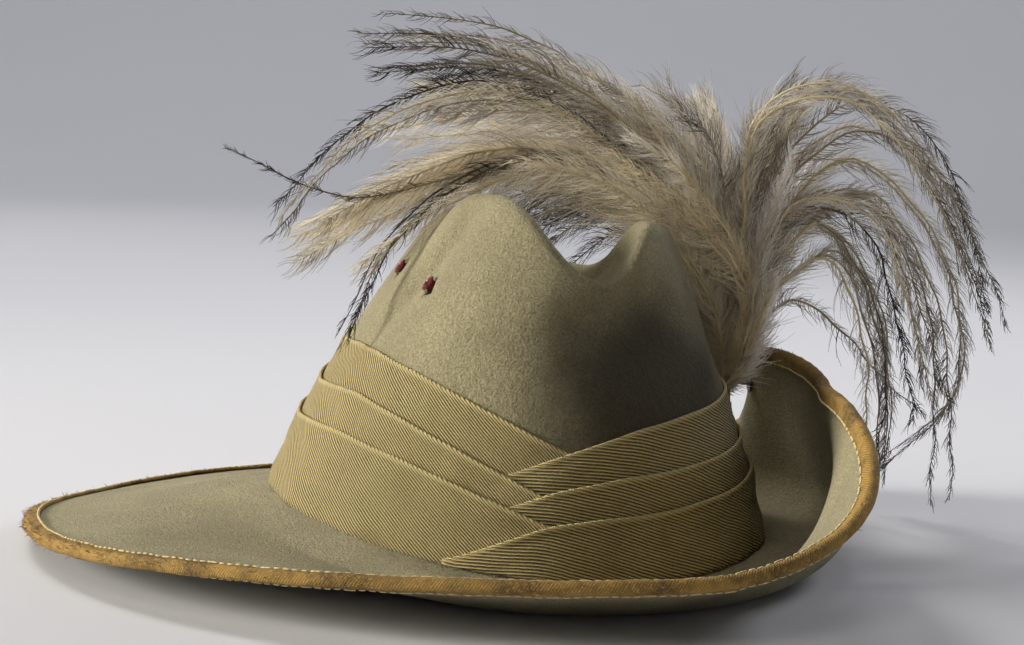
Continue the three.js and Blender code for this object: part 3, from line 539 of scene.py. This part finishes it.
# Pale paper, flat near the hat and swept up all round it. Sizes in metres, along the paper.
PAPER_LONG, PAPER_FLAT, PAPER_SWEEP, PAPER_LOW = 6.2, 2.9, 1.2, 0.0002
bm = bmesh.new()
bmesh.ops.create_grid(bm, x_segments=96, y_segments=60, size=1.0)
for v in bm.verts:
    along = (v.co.y + 1) * PAPER_LONG / 2
    around = -v.co.x * math.pi
    turn = min(max(0.0, along - PAPER_FLAT) / PAPER_SWEEP, math.pi / 2)
    reach = min(along, PAPER_FLAT) + PAPER_SWEEP * math.sin(turn)
    rise = PAPER_SWEEP * (1 - math.cos(turn)) + max(0.0, along - PAPER_FLAT - PAPER_SWEEP * math.pi / 2)
    v.co = Vector((reach * math.cos(around), reach * math.sin(around), rise - PAPER_LOW))
bmesh.ops.remove_doubles(bm, verts=bm.verts, dist=0.0001)
for face in bm.faces:
    face.smooth = True
mesh = bpy.data.meshes.new("studio_paper")
bm.to_mesh(mesh)
bm.free()
floor = bpy.data.objects.new("studio_paper", mesh)
bpy.context.scene.collection.objects.link(floor)
mesh.materials.append(paper_material("seamless_paper", "#d3d4d8"))

# ------------------------------------------------------------------ felt body

AROUND, UP_WALL, ROUND_BREAK, OUT_BRIM = 288, 78, 5, 46
VENT_HOLE = 2.6
LUMP_SIZE, LUMP_HIGH = 34.0, 0.35
lines = meridians(AROUND, UP_WALL, ROUND_BREAK, OUT_BRIM)
lumps = roughness_of(lines, LUMP_SIZE, 3.7) * LUMP_HIGH
lines[..., 2] += lumps * np.clip((lines[..., 2] - 8) / 20, 0, 1)
lines[-1] = lines[0]
bm = grid_mesh(AROUND + 1, lines.shape[1], lines)
close_up(bm)
vents = []
for name in EYELETS:
    low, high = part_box(name)
    vents.append((low + high) / 2)
for v in [v for v in bm.verts if min((v.co - c).length for c in vents) < VENT_HOLE * MM]:
    bm.verts.remove(v)
add_piece("felt_body_cloth", bm, felt_cloth, FELT, "felt_body")

# ------------------------------------------------------------------ brim binding


RIBBON_COLUMNS, RIBBON_ROWS = 721, 23
# How much less far the ribbon reaches onto the brim than its solid does.
RIBBON_SHORT = 4.5


def binding_line(angle, count):
    """Sections of the ribbon folded over the brim's edge, from the top hem to the bottom hem."""
    edge = brim_point(angle, BRIM_WIDTH + 0 * angle)
    hem = brim_point(angle, BRIM_WIDTH - RIBBON_WIDE + 0 * angle)
    out = edge - hem
    out /= np.linalg.norm(out, axis=-1)[..., None]
    step = 0.004
    before, after = (brim_point(angle + way * step, BRIM_WIDTH + 0 * angle) for way in (-1, 1))
    normal = np.cross(out, after - before)
    normal /= np.linalg.norm(normal, axis=-1)[..., None]
    half = FELT / 2 + GAP + RIBBON / 2
    flat, nose = RIBBON_WIDE - RIBBON_SHORT, math.pi * half / 2
    travel = np.linspace(-(flat + nose), flat + nose, count)
    rows = []
    for s in travel:
        turn = np.clip(abs(s) / nose, 0, 1) * math.pi / 2
        ahead = half * math.cos(turn) * 0.8
        height = half * math.sin(turn) * (-1 if s > 0 else 1)
        behind = max(0.0, abs(s) - nose)
        rows.append(edge + out * (ahead - behind) + normal * height)
    return np.stack(rows, 1)


angle = -math.pi + 2 * math.pi * np.arange(RIBBON_COLUMNS) / (RIBBON_COLUMNS - 1)
ribbon = binding_line(angle, RIBBON_ROWS)
ribbon[-1] = ribbon[0]
wobble = roughness_of(ribbon, 6.0, 1.3) * 0.3
ribbon[..., 2] = np.maximum(ribbon[..., 2] + wobble, 0.42)
bm = grid_mesh(RIBBON_COLUMNS, RIBBON_ROWS, ribbon, (1.1, 0.0215))
close_up(bm)
binding = add_piece("brim_binding_ribbon", bm, ribbon_cloth, RIBBON, "brim_binding")

# Stitches along both hems of the ribbon, each a flattened bead: pitch, half-length, half-width and
# half-height.
STITCH_PITCH, STITCH_LONG, STITCH_WIDE, STITCH_HIGH = 2.8, 1.3, 0.5, 0.34
bead = bmesh.new()
bmesh.ops.create_uvsphere(bead, u_segments=8, v_segments=5, radius=MM)
one = bpy.data.meshes.new("one_stitch")
bm = bmesh.new()
for row in (0, -1):
    side = 1 if row == 0 else -1
    hem = ribbon[:-1, row]
    inward = hem - ribbon[:-1, row + side]
    inward /= np.linalg.norm(inward, axis=1)[:, None]
    tangent = np.roll(hem, -1, axis=0) - np.roll(hem, 1, axis=0)
    tangent /= np.linalg.norm(tangent, axis=1)[:, None]
    normal = np.cross(tangent, inward) * side
    gone = np.concatenate([[0], np.cumsum(np.linalg.norm(np.diff(hem, axis=0), axis=1))])
    count = int(gone[-1] / STITCH_PITCH)
    for k in range(count):
        i = int(np.searchsorted(gone, (k + 0.5) * gone[-1] / count)) % (RIBBON_COLUMNS - 1)
        at = hem[i] - inward[i] * 0.6 + normal[i] * 0.6
        if at[2] < 0.7:
            continue
        axes = Matrix((
            Vector(tangent[i] * STITCH_LONG),
            Vector(inward[i] * STITCH_WIDE),
            Vector(normal[i] * STITCH_HIGH)))
        place = Matrix.Translation(Vector(at) * MM) @ axes.transposed().to_4x4()
        made = bead.copy()
        bmesh.ops.transform(made, verts=made.verts, matrix=place)
        made.to_mesh(one)
        made.free()
        bm.from_mesh(one)
bead.free()
for face in bm.faces:
    face.smooth = True
bmesh.ops.recalc_face_normals(bm, faces=bm.faces)
stitches = add_piece("hem_stitches", bm, thread, 0.0, "brim_binding")

# ------------------------------------------------------------------ puggaree

# level: how far out the fold lies over the others, drop: mm that it covers below its edge. The rows
# are its top edge: degrees past the front's middle on the fold's own side, and the rise of the
# edge; a negative angle is past the middle, under or over the others.
FOLDS = {
    "right_upper": {"level": 0, "drop": 23, "rows": [
        (-6, 36), (0, 39.5), (7, 43), (16, 47.5), (27, 51.5), (40, 54.5), (60, 56), (90, 54)]},
    "left_upper": {"level": 1, "drop": 22, "rows": [
        (-15, 30), (-10, 33.5), (-2, 38.5), (7, 43), (17, 47), (33, 50), (60, 51.5), (90, 52)]},
    "right_middle": {"level": 2, "drop": 20, "rows": [
        (-8, 19), (-2, 22), (6, 26), (15, 31), (27, 36), (42, 40), (60, 42), (90, 38.5)]},
    "left_middle": {"level": 3, "drop": 19, "rows": [
        (-17, 18), (-10, 23), (-2, 28), (12, 32.5), (32, 34.5), (60, 35.5), (90, 36)]},
    "right_lower": {"level": 4, "drop": 60, "rows": [
        (-10, 10), (-4, 13.5), (4, 17), (14, 21.5), (26, 25.5), (39, 28), (60, 29), (90, 26)]},
    "left_lower": {"level": 5, "drop": 60, "rows": [
        (-25, 1.5), (-19, 6), (-13, 10.5), (-4, 17), (7, 20), (17, 21), (35, 23), (60, 24), (90, 25)]},
}


FOLD_COLUMNS, FOLD_ROWS = 241, 28
# How far the folds lie out from the felt's middle: the lowest and the step to each next one, at the
# hat's sides, and where they cross.
SIDE_OUT, SIDE_STEP, CROSS_OUT, CROSS_STEP = 1.75, 0.95, 1.6, 0.62
# The least that a fold may come to, so that it stays off the felt, and the step to each next one.
CLEAR, CLEAR_STEP = 1.5, 0.25


def fold_points(fold, left):
    """Points down from the fold's edge, column by column, and how far each is below the edge."""
    past = [row[0] for row in fold["rows"]]
    rise = [row[1] for row in fold["rows"]]
    first = past[0]
    count, deep = FOLD_COLUMNS, FOLD_ROWS
    # From the front end round the side to the back end, where the folds cross the same way.
    way = np.linspace(first, 180 - first, count)
    near = np.where(way > 90, 180 - way, way)
    fine = np.linspace(first, 90, 200)
    smooth = np.convolve(np.pad(np.interp(fine, past, rise), 6, mode="edge"), np.ones(13) / 13, "valid")
    top = np.interp(near, fine, smooth)
    angle = np.radians(-90 + way) if left else np.radians(-90 - way)
    drop = np.minimum(fold["drop"], top - 0.9)
    order = fold["level"] // 2
    cross = 1 / (1 + np.exp((near - 30) / 5))
    away = (1 - cross) * (SIDE_OUT + SIDE_STEP * order) + cross * (CROSS_OUT + CROSS_STEP * fold["level"])
    # The relief dies out where the end is tucked under its neighbours.
    shown = np.clip((near - first - 5) / 8, 0, 1)
    shown = shown * shown * (3 - 2 * shown)
    away = away - 0.3 * (1 - shown)
    shown = shown * (1 - 0.45 * np.clip((near - 30) / 40, 0, 1))
    points, across = np.zeros((count, deep, 3)), np.zeros((count, deep))
    for j in range(deep):
        below = drop * (1 - min(j / (deep - 4), 1)) ** 1.6
        roll = max(0, j - (deep - 4)) / 3
        sunk = np.clip((below - 3.5) / 6.5, 0, 1)
        relief = 0.55 * np.exp(-((below / 1.5) ** 2)) + 0.1 - 0.55 * sunk * sunk * (3 - 2 * sunk)
        # The folded edge rolls in towards the crown.
        h = top - below + 0.25 * math.sin(math.pi * roll) - 0.9 * max(0, roll - 0.5)
        place = wall_surface(angle, h, CLEAR + 0 * h)
        wrinkle = 0.9 * roughness_of(place * np.array([1, 1, 1.7]), 15.0, 5.1)
        wrinkle = wrinkle + 0.2 * roughness_of(place, 6.0, 2.2)
        out = away + shown * relief + wrinkle * np.clip(below / 3, 0.3, 1)
        out = np.maximum(out, CLEAR + CLEAR_STEP * order)
        points[:, j] = wall_surface(angle, h, out - 0.75 * roll * np.minimum(1, (out - 1.1) / 0.75))
        across[:, j] = roll - below
    return points, across


for name, fold in FOLDS.items():
    left = name.startswith("left")
    points, across = fold_points(fold, left)
    length = float(np.linalg.norm(np.diff(points[:, FOLD_ROWS // 2], axis=0), axis=1).sum())
    bm = grid_mesh(FOLD_COLUMNS, FOLD_ROWS, points, (FOLD_COLUMNS - 1, FOLD_ROWS - 1))
    sheet_uv = bm.loops.layers.uv.active
    for face in bm.faces:
        for loop in face.loops:
            i, j = round(loop[sheet_uv].uv.x), round(loop[sheet_uv].uv.y)
            loop[sheet_uv].uv = (i / (FOLD_COLUMNS - 1) * length * MM, across[i, j] * MM)
    bmesh.ops.recalc_face_normals(bm, faces=bm.faces)
    cloth = twill_material("cotton_twill_" + name, "#d2be83", "#2b210f", 20 if left else 152)
    piece = add_piece("puggaree_" + name, bm, cloth, TWILL, "puggaree")

# ------------------------------------------------------------------ plume

# The points that each group's middle feather passes through after the head of the quills, in mm.
PATHS = {
    "top_left": [(76, 23, 94), (57, 12, 133), (21, -1, 160), (-19, -14, 175), (-61, -30, 174)],
    "crest": [(81, 31, 94), (65, 32, 134), (34, 33, 164), (-5, 36, 183), (-49, 38, 187)],
    "middle_left": [(70, 23, 100), (35, 11, 138), (-12, -4, 157), (-59, -20, 142), (-91, -38, 109)],
    "cream_left": [(73, 26, 92), (47, 21, 126), (3, 14, 139), (-36, 7, 129), (-72, 0, 109)],
    "long_strand": [(69, 23, 98), (31, 13, 129), (-18, 1, 131), (-63, -11, 122), (-106, -26, 138)],
    "falling_left": [(71, 23, 95), (38, 14, 129), (-6, 0, 137), (-46, -14, 113), (-67, -30, 76)],
    "over_crown": [(75, 30, 84), (57, 30, 114), (31, 31, 136), (-2, 33, 142), (-33, 34, 134)],
    "high_left": [(77, 28, 87), (64, 26, 122), (38, 23, 149), (3, 19, 158), (-33, 16, 158)],
    "wisp_left": [(81, 28, 79), (75, 23, 104), (67, 17, 128), (55, 10, 147), (36, 2, 160)],
    "wisp": [(85, 31, 76), (83, 34, 99), (81, 37, 121), (76, 42, 142), (69, 45, 160)],
    "behind_low": [(80, 40, 74), (72, 54, 97), (58, 70, 118), (36, 86, 119), (16, 100, 101)],
    "behind_high": [(80, 38, 76), (70, 46, 102), (55, 58, 125), (30, 70, 132), (6, 84, 126)],
    "outer_fall": [(85, 25, 102), (87, 18, 153), (120, 9, 163), (150, -1, 127), (168, -12, 82)],
    "gold_bow": [(88, 32, 89), (98, 36, 127), (127, 40, 152), (160, 44, 135), (177, 49, 97)],
    "inner_fall": [(89, 27, 87), (102, 23, 120), (129, 18, 115), (141, 12, 81), (147, 5, 46)],
    "loop": [(93, 35, 102), (128, 43, 139), (169, 52, 105), (182, 63, 52), (157, 75, 19)],
    "plumb_fall": [(96, 32, 96), (131, 34, 127), (159, 37, 90), (166, 40, 46), (167, 44, 9)],
    "crossing": [(92, 38, 72), (112, 50, 86), (137, 64, 72), (158, 79, 53), (180, 92, 38)],
    "low_tips": [(96, 36, 85), (125, 45, 103), (145, 56, 69), (153, 68, 35), (154, 81, 8)],
    "back_fall": [(94, 36, 87), (118, 47, 114), (146, 58, 86), (157, 72, 47), (159, 84, 12)],
    "down_vane": [(90, 35, 68), (94, 42, 85), (101, 50, 100), (112, 60, 117), (126, 71, 131)],
    "striped_vane": [(84, 26, 67), (87, 20, 84), (88, 13, 102), (91, 4, 118), (95, -5, 132)],
    "gold_shaft": [(86, 22, 69), (87, 16, 92), (76, 8, 112), (56, 0, 136), (38, -6, 157)],
    "gold_shaft_low": [(84, 22, 69), (85, 15, 90), (73, 6, 108), (50, -4, 128), (23, -14, 141)],
    "grey_vane": [(88, 24, 73), (89, 17, 93), (91, 12, 110), (94, 9, 127), (98, 8, 143)],
    "spikes": [(75, 20, 80), (58, 8, 104), (40, -6, 122), (20, -14, 131), (1, -20, 134)],
    "base_fluff": [(83, 24, 58), (86, 20, 66), (88, 16, 75), (90, 12, 86), (92, 8, 98)],
    "peak": [(86, 31, 77), (87, 32, 104), (90, 34, 128), (97, 36, 150), (110, 38, 166)],
}
# many: feathers in the group, stray: how far their tips part in mm, fluff: longest barb in mm,
# close: barbs a millimetre on each side, foot and end: darkness at the foot and at the tip,
# warm: 0 for grey to 1 for straw.
FEATHERS = [
    # group, many, stray, fluff, close, foot, end, warm
    ("top_left", 5, 7, 20, 1.7, 0.15, 0.95, 0.4),
    ("crest", 2, 6, 12, 1.2, 0.20, 0.85, 0.6),
    ("middle_left", 3, 8, 15, 1.5, 0.10, 0.90, 0.5),
    ("cream_left", 8, 9, 26, 2.2, -0.15, 0.05, 0.65),
    ("long_strand", 1, 0, 6, 1.6, 0.20, 1.20, 0.9),
    ("falling_left", 3, 5, 11, 1.4, 0.15, 1.00, 0.6),
    ("over_crown", 8, 12, 28, 2.0, -0.12, 0.10, 0.5),
    ("high_left", 7, 8, 26, 2.0, -0.12, 0.35, 0.45),
    ("wisp_left", 8, 9, 26, 2.2, -0.10, 0.20, 0.4),
    ("wisp", 6, 8, 24, 2.2, -0.10, 0.15, 0.4),
    ("behind_low", 8, 13, 20, 2.2, 0.60, 1.10, 0.3),
    ("behind_high", 7, 14, 20, 2.2, 0.55, 1.10, 0.3),
    ("outer_fall", 4, 7, 12, 1.6, 0.10, 1.05, 0.4),
    ("gold_bow", 3, 8, 16, 1.6, 0.10, 0.90, 0.7),
    ("inner_fall", 4, 8, 15, 1.8, 0.05, 0.95, 0.5),
    ("loop", 2, 6, 13, 1.6, 0.15, 1.05, 0.3),
    ("plumb_fall", 2, 6, 12, 1.6, 0.15, 1.00, 0.3),
    ("crossing", 1, 0, 12, 1.6, 0.30, 0.90, 0.2),
    ("low_tips", 3, 8, 12, 1.6, 0.20, 0.95, 0.3),
    ("back_fall", 3, 8, 13, 1.6, 0.15, 0.90, 0.3),
    ("down_vane", 6, 12, 28, 2.2, -0.10, 0.10, 0.1),
    ("striped_vane", 3, 5, 14, 2.4, -0.10, 0.10, 0.1),
    ("gold_shaft", 2, 2, 20, 1.8, -0.15, 0.25, 1.0),
    ("gold_shaft_low", 2, 4, 22, 1.6, -0.15, 0.10, 1.0),
    ("grey_vane", 1, 0, 17, 3.2, -0.15, 0.05, 0.0),
    ("spikes", 4, 7, 24, 1.4, -0.20, -0.10, 0.7),
    ("base_fluff", 8, 3, 13, 2.0, -0.10, 0.10, 0.3),
    ("peak", 9, 7, 26, 2.0, -0.05, 0.50, 0.5),
]

chance = np.random.default_rng(SEED)


def through(points, count):
    """Evenly spaced points along a smooth line through the given points."""
    p = np.array(points, float)
    n = len(p)
    t = np.linspace(0, n - 1, 40 * n)
    i = np.minimum(t.astype(int), n - 2)
    s = (t - i)[:, None]
    p0, p1, p2, p3 = p[np.maximum(i - 1, 0)], p[i], p[i + 1], p[np.minimum(i + 2, n - 1)]
    line = p1 + 0.5 * s * (p2 - p0 + s * (2 * p0 - 5 * p1 + 4 * p2 - p3 + s * (3 * p1 - p0 - 3 * p2 + p3)))
    gone = np.concatenate([[0], np.cumsum(np.linalg.norm(np.diff(line, axis=0), axis=1))])
    even = np.linspace(0, gone[-1], count)
    return np.stack([np.interp(even, gone, line[:, k]) for k in range(3)], 1), gone[-1]


def feather_line(group, stray, count=44):
    """The shaft of one feather of this group, strayed at random, and its length."""
    via = np.array(PATHS[group], float)
    share = np.linspace(0.2, 1, len(via))[:, None]
    part = chance.normal(0, 1, 3) * np.array([0.8, 1.1, 0.8]) * stray
    via = via + part * share**1.2 + chance.normal(0, 0.12, via.shape) * stray * share
    start = QUILL_HEAD + chance.normal(0, 1, 3) * np.array([1.3, 1.3, 0.6])
    line, length = through(np.concatenate([[start], via]), count)
    phase, pitch = chance.uniform(0, 6.28, 2), chance.uniform(18, 34)
    way = np.linspace(0, length, count)
    line[:, 0] += 0.5 * np.sin(way / pitch * 6.28 + phase[0]) * np.minimum(way / 40, 1)
    line[:, 1] += 0.8 * np.sin(way / pitch * 4.9 + phase[1]) * np.minimum(way / 40, 1)
    return line, length


def frames_of(path):
    """The directions along a feather's shaft, across its vane and out of its face."""
    along = np.gradient(path, axis=0)
    along /= np.linalg.norm(along, axis=1)[:, None]
    ahead = path[-1] - path[0]
    deep = np.array([-ahead[1], ahead[0], 0.0])
    deep = deep / np.linalg.norm(deep) * (1 if ahead[0] > 0 else -1)
    across = np.cross(along, deep)
    across /= np.linalg.norm(across, axis=1)[:, None]
    return along, across, np.cross(across, along)


def strands(name, points, tones, warms, material, node):
    """Separate narrow strips as one piece. points[strip][step][edge] in mm, tones[strip][step]."""
    count, steps = points.shape[0], points.shape[1]
    bm = bmesh.new()
    bmesh.ops.create_grid(bm, x_segments=steps - 1, y_segments=2 * count - 1, size=0.5)
    spare = [f for f in bm.faces if round((f.calc_center_median().y + 0.5) * (2 * count - 1) - 0.5) % 2]
    bmesh.ops.delete(bm, geom=spare, context="FACES_ONLY")
    mesh = bpy.data.meshes.new(name)
    for face in bm.faces:
        face.smooth = True
    bm.to_mesh(mesh)
    bm.free()
    co = np.zeros(len(mesh.vertices) * 3)
    mesh.vertices.foreach_get("co", co)
    co = co.reshape(-1, 3)
    i = np.rint((co[:, 0] + 0.5) * (steps - 1)).astype(int)
    row = np.rint((co[:, 1] + 0.5) * (2 * count - 1)).astype(int)
    mesh.vertices.foreach_set("co", (points[row // 2, i, row % 2] * MM).ravel())
    tone = mesh.attributes.new("tone", "FLOAT", "POINT")
    tone.data.foreach_set("value", tones[row // 2, i].astype(np.float32))
    warm = mesh.attributes.new("warm", "FLOAT", "POINT")
    warm.data.foreach_set("value", warms[row // 2].astype(np.float32))
    mesh.update()
    piece = bpy.data.objects.new(name, mesh)
    bpy.context.scene.collection.objects.link(piece)
    mesh.materials.append(material)
    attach(piece, "root")
    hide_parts(node)
    return piece


# Steps along a barb, half its width at the root in mm, and the stretch of shaft over which barbs
# cling together in tufts.
STEPS, BARB, TUFT = 5, 0.15, 4.0
barb_points, barb_tones, barb_warms, shaft_paths = [], [], [], []
for group, many, stray, fluff, close, foot, end, warm in FEATHERS:
    for k in range(many):
        path, length = feather_line(group, stray if k else 0.0)
        along, across, above = frames_of(path)
        shade = 0.2 * chance.normal()
        shaft_paths.append((path, along, across, above, foot + shade, end + shade))
        number = int(length * close * 0.8)
        roll = chance.normal(0, 0.5)
        for direction in (-1, 1):
            where = 0.04 + 0.96 * np.sort(chance.uniform(0, 1, number)) ** 1.25
            at = where * (len(path) - 1)
            i = np.minimum(at.astype(int), len(path) - 2)
            f = (at - i)[:, None]
            root = path[i] * (1 - f) + path[i + 1] * f
            ahead = along[i] * (1 - f) + along[i + 1] * f
            side = (across[i] * (1 - f) + across[i + 1] * f) * direction
            face = above[i] * (1 - f) + above[i + 1] * f
            wide = 44 - 14 * where
            knots = np.arange(0, length + 2 * TUFT, TUFT)
            tuft = np.interp(where * length, knots, chance.normal(0, 1, len(knots)))
            open_ = np.radians(wide + 7 * tuft + chance.normal(0, 2.5, number))[:, None]
            spin = roll + chance.normal(0, 0.22, number)[:, None]
            swell = np.interp(where, [0, 0.12, 0.3, 0.6, 1.0], [0.35, 0.75, 1.0, 0.8, 0.32])
            size = (fluff * swell * chance.uniform(0.6, 1.1, number) * (1 + 0.22 * tuft))[:, None]
            size = np.clip(size, 2, 40)
            aside = side * np.cos(spin) + face * np.sin(spin)
            t = np.linspace(0, 1, STEPS)
            centre = np.zeros((number, STEPS, 3))
            curl = chance.normal(0.65, 0.25, number)[:, None]
            for s, u in enumerate(t):
                lean = open_ * (1.2 - curl * u)
                centre[:, s] = root + size * u * (ahead * np.cos(lean) + aside * np.sin(lean))
                centre[:, s, 2] -= (size[:, 0] ** 2) * 0.008 * u * u
            centre += chance.normal(0, 0.35, (number, 1, 3)) * t[None, :, None] ** 2
            half = BARB * (1 - 0.7 * t)[None, :, None]
            facing = np.cross(ahead, aside) + 0.45 * chance.normal(size=(number, 3))
            flat = np.cross(np.gradient(centre, axis=1), facing[:, None, :])
            flat /= np.linalg.norm(flat, axis=2)[..., None] + 1e-9
            barb_points.append(np.stack([centre - flat * half, centre + flat * half], 2))
            fade = foot + shade + (end - foot) * where[:, None] ** 2.0 + 0.16 * t[None, :] - 0.05
            barb_tones.append(fade + (0.12 * tuft + chance.normal(0, 0.13, number))[:, None])
            barb_warms.append(np.clip(warm + chance.normal(0, 0.2, number), 0, 1))

barb_points = np.concatenate(barb_points)
barb_tones = np.clip(np.concatenate(barb_tones), 0, 1.1)
barb_warms = np.concatenate(barb_warms)
barb_points[..., 2] = np.maximum(barb_points[..., 2], 3.0)
# The barbs are shared out among four pieces, each well under the limit on faces.
PARTS = 4
order = chance.permutation(len(barb_points))
share = math.ceil(len(order) / PARTS)
for k in range(PARTS):
    part = order[k * share:(k + 1) * share]
    strands("plume_barbs_%d" % (k + 1), barb_points[part], barb_tones[part], barb_warms[part],
            barbs_horn, "plume")

# Shafts: sides, thickness at the quill that is lost towards the tip, and what is left, in mm.
SIDES, SHAFT_THICK, SHAFT_THIN = 5, 0.62, 0.12
bm = bmesh.new()
tone_layer = bm.verts.layers.float.new("tone")
for path, along, across, above, foot, end in shaft_paths:
    start = len(bm.verts)
    bmesh.ops.create_grid(bm, x_segments=len(path) - 1, y_segments=SIDES, size=0.5)
    bm.verts.ensure_lookup_table()
    fresh = [bm.verts[k] for k in range(start, len(bm.verts))]
    for v in fresh:
        i = round((v.co.x + 0.5) * (len(path) - 1))
        a = 2 * math.pi * round((v.co.y + 0.5) * SIDES) / SIDES
        t = i / (len(path) - 1)
        r = SHAFT_THICK * (1 - t) ** 0.8 + SHAFT_THIN
        v[tone_layer] = min(max(0.0, foot + (end - foot) * t * t), 1.0)
        v.co = Vector(path[i] + r * (across[i] * math.cos(a) + above[i] * math.sin(a))) * MM
for face in bm.faces:
    face.smooth = True
bmesh.ops.remove_doubles(bm, verts=bm.verts, dist=2e-7)
bmesh.ops.holes_fill(bm, edges=bm.edges, sides=8)
bmesh.ops.recalc_face_normals(bm, faces=bm.faces)
add_piece("plume_shafts", bm, shafts_horn, 0.0, "plume")

# The bound quills below the head, with a whipping round them.
QUILLS, QUILL_RING, QUILL_THICK, QUILL_THIN = 19, 3.4, 0.75, 0.6
WRAPS, WRAP_THICK, WRAP_PITCH = 9, 3.95, 0.95
bm = bmesh.new()
bm.verts.layers.float.new("tone")
axis = QUILL_HEAD - QUILL_FOOT
tall = float(np.linalg.norm(axis))
for k in range(QUILLS):
    a, ring = 2.4 * k, QUILL_RING * math.sqrt(k / QUILLS)
    made = bmesh.ops.create_cone(
        bm, cap_ends=True, segments=8, radius1=QUILL_THICK * MM, radius2=QUILL_THIN * MM,
        depth=(tall + 4) * MM)
    bmesh.ops.translate(bm, verts=made["verts"], vec=Vector((ring * math.cos(a), ring * math.sin(a), 0)) * MM)
for k in range(WRAPS):
    made = bmesh.ops.create_cone(
        bm, cap_ends=True, segments=24, radius1=WRAP_THICK * MM, radius2=WRAP_THICK * MM, depth=0.9 * MM)
    bmesh.ops.translate(bm, verts=made["verts"], vec=Vector((0, 0, WRAP_PITCH * k - 2)) * MM)
turn = Vector((0, 0, 1)).rotation_difference(Vector(axis)).to_matrix()
bmesh.ops.rotate(bm, verts=bm.verts, cent=(0, 0, 0), matrix=turn)
bmesh.ops.translate(bm, verts=bm.verts, vec=Vector((QUILL_HEAD + QUILL_FOOT) / 2) * MM)
for face in bm.faces:
    face.smooth = len(face.verts) == 4
add_piece("plume_quills", bm, shafts_horn, 0.0, "plume")

# ------------------------------------------------------------------ hook and eyelets

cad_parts["flap_hook"].material_slots[0].material = enamel_material(
    "blacked_steel_wire", "#1c1a18", "#4a4640", 0.8, 0.45)
red = enamel_material("dark_red_enamel", "#6d1b1e", "#3a1413", 0.2, 0.4)
for name in EYELETS:
    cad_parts[name].material_slots[0].material = red

# ------------------------------------------------------------------ frayed threads

# Ends of broken ribbon threads along the worn edge, thickest on the wearer's right.
worn = np.random.default_rng(SEED + 5)
FRAYS, FRAY_STEPS, FRAY_WIDE = 900, 4, 0.17
WORN_SHARE, WORN_AT, WORN_SPREAD = 0.72, -172, 34
bunched = worn.uniform(0, 1, FRAYS) < WORN_SHARE
turn = np.where(bunched, worn.normal(WORN_AT, WORN_SPREAD, FRAYS), worn.uniform(-180, 180, FRAYS))
i = np.rint((turn + 180) % 360 * 2).astype(int) % (RIBBON_COLUMNS - 1)
column = np.clip(np.rint(worn.normal(9, 3.2, FRAYS)), 1, RIBBON_ROWS - 2).astype(int)
at = ribbon[i, column]
outward = at - 0.5 * (ribbon[i, 0] + ribbon[i, -1])
outward /= np.linalg.norm(outward, axis=1)[:, None]
onward = ribbon[(i + 1) % (RIBBON_COLUMNS - 1), column] - at
onward /= np.linalg.norm(onward, axis=1)[:, None]
side = np.cross(outward, onward)
lean = outward + worn.normal(0, 0.8, (FRAYS, 1)) * onward + worn.normal(0, 0.4, (FRAYS, 1)) * side
lean /= np.linalg.norm(lean, axis=1)[:, None]
bend = worn.normal(0, 0.5, (FRAYS, 1)) * onward + worn.normal(0, 0.4, (FRAYS, 1)) * side
long = np.exp(worn.normal(0.1, 0.4, FRAYS))[:, None]
fray_points = np.zeros((FRAYS, FRAY_STEPS, 2, 3))
for k in range(FRAY_STEPS):
    t = k / (FRAY_STEPS - 1)
    centre = at + outward * 0.3 + long * (lean * t + bend * t * t)
    wide = np.cross(lean, outward + 0.3 * side)
    wide /= np.linalg.norm(wide, axis=1)[:, None]
    fray_points[:, k, 0] = centre - wide * (FRAY_WIDE - 0.1 * t)
    fray_points[:, k, 1] = centre + wide * (FRAY_WIDE - 0.1 * t)
fray_points[..., 2] = np.maximum(fray_points[..., 2], 0.3)
strands("frayed_threads", fray_points, np.zeros((FRAYS, FRAY_STEPS)), np.zeros(FRAYS), frayed_ends,
        "brim_binding")

bpy.context.view_layer.update()
